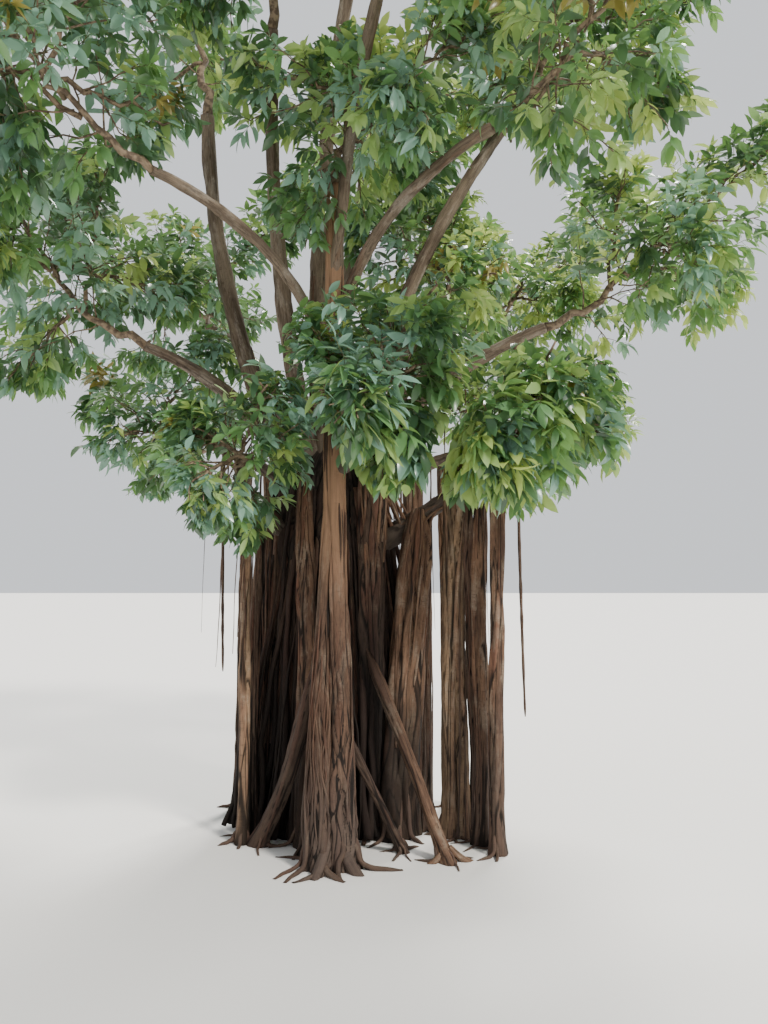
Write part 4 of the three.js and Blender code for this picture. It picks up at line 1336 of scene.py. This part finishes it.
def grow_leaves(twigs):
    """Leaves in a spiral along fine twigs, as base, along, across and length, with the spray and the twig
    that each belongs to."""
    n, count = len(twigs.start), LEAVES_ON_TWIG
    step = (np.arange(count) + growth.random((n, count)) * 0.5) / (count - 0.5)
    share = np.clip(mix(0.3, 1.02, step**0.65), 0, 1)
    roll = np.arange(count) * GOLDEN_ANGLE + growth.random((n, 1)) * FULL_TURN
    rows = np.repeat(np.arange(n), count)
    share, roll = share.reshape(-1), roll.reshape(-1)
    carriers = twigs.pick(rows)
    base, tangent = carriers.point(share), carriers.tangent(share)
    side = square_to(tangent, roll)
    side[:, 2] *= LEAF_LEVEL
    along = unit(tangent * mix(0.3, 1.3, share**2)[:, None] + unit(side) - LEAF_HANG * Z_AXIS)
    facing = Z_AXIS + growth.normal(0, 0.4, (len(rows), 3))
    width = unit(np.cross(along, facing))
    length = LEAF_LENGTH * growth.uniform(0.62, 1.2, len(rows)) * mix(1.05, 0.85, share)
    length *= 1 + ease(3.0, 2.2, base[:, 2]) * mix(-0.16, 0.42, ease(-0.4, 0.4, base[:, 0]))
    tip = base + along * length[:, None]
    middle = mix(base, tip, 0.5)
    kept = in_own_space(carriers.mass, tip) & in_uneven_space(carriers.mass, base)
    kept &= ((tip > CAD_LOW) & (tip < CAD_HIGH)).all(1) & ~hides_stem(middle) & ~hides_stem(tip)
    chosen = np.flatnonzero(kept)
    chosen = chosen[clear_of_limbs(tip[chosen], 0.008) & clear_of_limbs(middle[chosen], 0.006)]
    return base[chosen], along[chosen], width[chosen], length[chosen], carriers.spray[chosen], rows[chosen]


base, along, width, length, spray, whorl = grow_leaves(fine_twigs)
blade = blade_vertices()
up = np.cross(width, along)
curl = growth.uniform(0.4, 1.6, len(base))
bent = np.broadcast_to(blade, (len(base), *blade.shape)).copy()
bent[..., 2] *= curl[:, None]
leaf_vertices = base[:, None] + length[:, None, None] * (
    bent[..., :1] * width[:, None] + bent[..., 1:2] * along[:, None] + bent[..., 2:] * up[:, None]
)

# Tints go by spray: most fine twigs take their branchlet's, the others their own, brighter on the sunny
# right and higher up.
LEAF_PIECE_MOST = 16000
FOLLOWING = 0.6
shaded_shares, sunny_shares = np.array([shares for _, *shares in LEAF_TINTS.values()]).T
middles = np.zeros((whorl.max() + 1, 3))
middles[whorl] = base
sunny = ease(-1.0, 1.6, middles[:, 0] + 0.25 * (middles[:, 2] - 3))
totals = np.cumsum(mix(shaded_shares, sunny_shares, sunny[:, None]), 1)
dealing = np.random.default_rng(71)
draw = dealing.random(len(middles))
follows = dealing.random(len(middles)) < FOLLOWING
draw[follows] = dealing.random(spray.max() + 1)[fine_twigs.spray[: len(middles)][follows]]
dealt = (draw[:, None] * totals[:, -1:] > totals).sum(1)
for k, (tint, (material, *_)) in enumerate(LEAF_TINTS.items()):
    chosen = np.flatnonzero(dealt[whorl] == k)
    for part, some in enumerate(np.array_split(chosen, math.ceil(len(chosen) / LEAF_PIECE_MOST))):
        name = f"leaves_{tint}_{part + 1}"
        mesh = mesh_from(name, leaf_vertices[some], BLADE_QUADS, BLADE_TRIANGLES)
        new_piece(name, mesh, material, FOLIAGE_NODES)


# Stage.
FLOOR_HALF = 400
FLOOR_DROP = 0.002

floor_grid = bmesh.new()
bmesh.ops.create_grid(floor_grid, x_segments=1, y_segments=1, size=FLOOR_HALF)
floor_mesh = bpy.data.meshes.new("floor")
floor_grid.to_mesh(floor_mesh)
floor_grid.free()
floor_finish = Finish("floor")
floor_mesh.materials.append(floor_finish.close(floor_finish.skin((0.8, 0.785, 0.76, 1), 0.9)))
floor = put("floor", floor_mesh)
floor.location = (0, 0, -FLOOR_DROP)
floor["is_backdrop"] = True

world = bpy.data.worlds.new("studio")
world.use_nodes = True
sky = world.node_tree.nodes["Background"].inputs
sky["Color"].default_value = (0.93, 0.96, 1.0, 1)
sky["Strength"].default_value = 1.0
bpy.context.scene.world = world


def soft_sun(name, azimuth, elevation, spread_angle, power, colour):
    """A wide soft light from far off. Azimuth 0 shines from the viewer's side and 90 from the right."""
    lamp = bpy.data.lights.new(name, "SUN")
    lamp.angle = math.radians(spread_angle)
    lamp.energy = power
    lamp.color = colour
    turn, lean = math.radians(azimuth), math.radians(elevation)
    source = Vector((math.sin(turn) * math.cos(lean), -math.cos(turn) * math.cos(lean), math.sin(lean)))
    put(name, lamp).rotation_euler = source.to_track_quat("Z", "Y").to_euler()


soft_sun("key", 40, 38, 9, 3.9, (1.0, 0.95, 0.87))
soft_sun("back", 155, 52, 16, 4.5, (1.0, 0.98, 0.92))
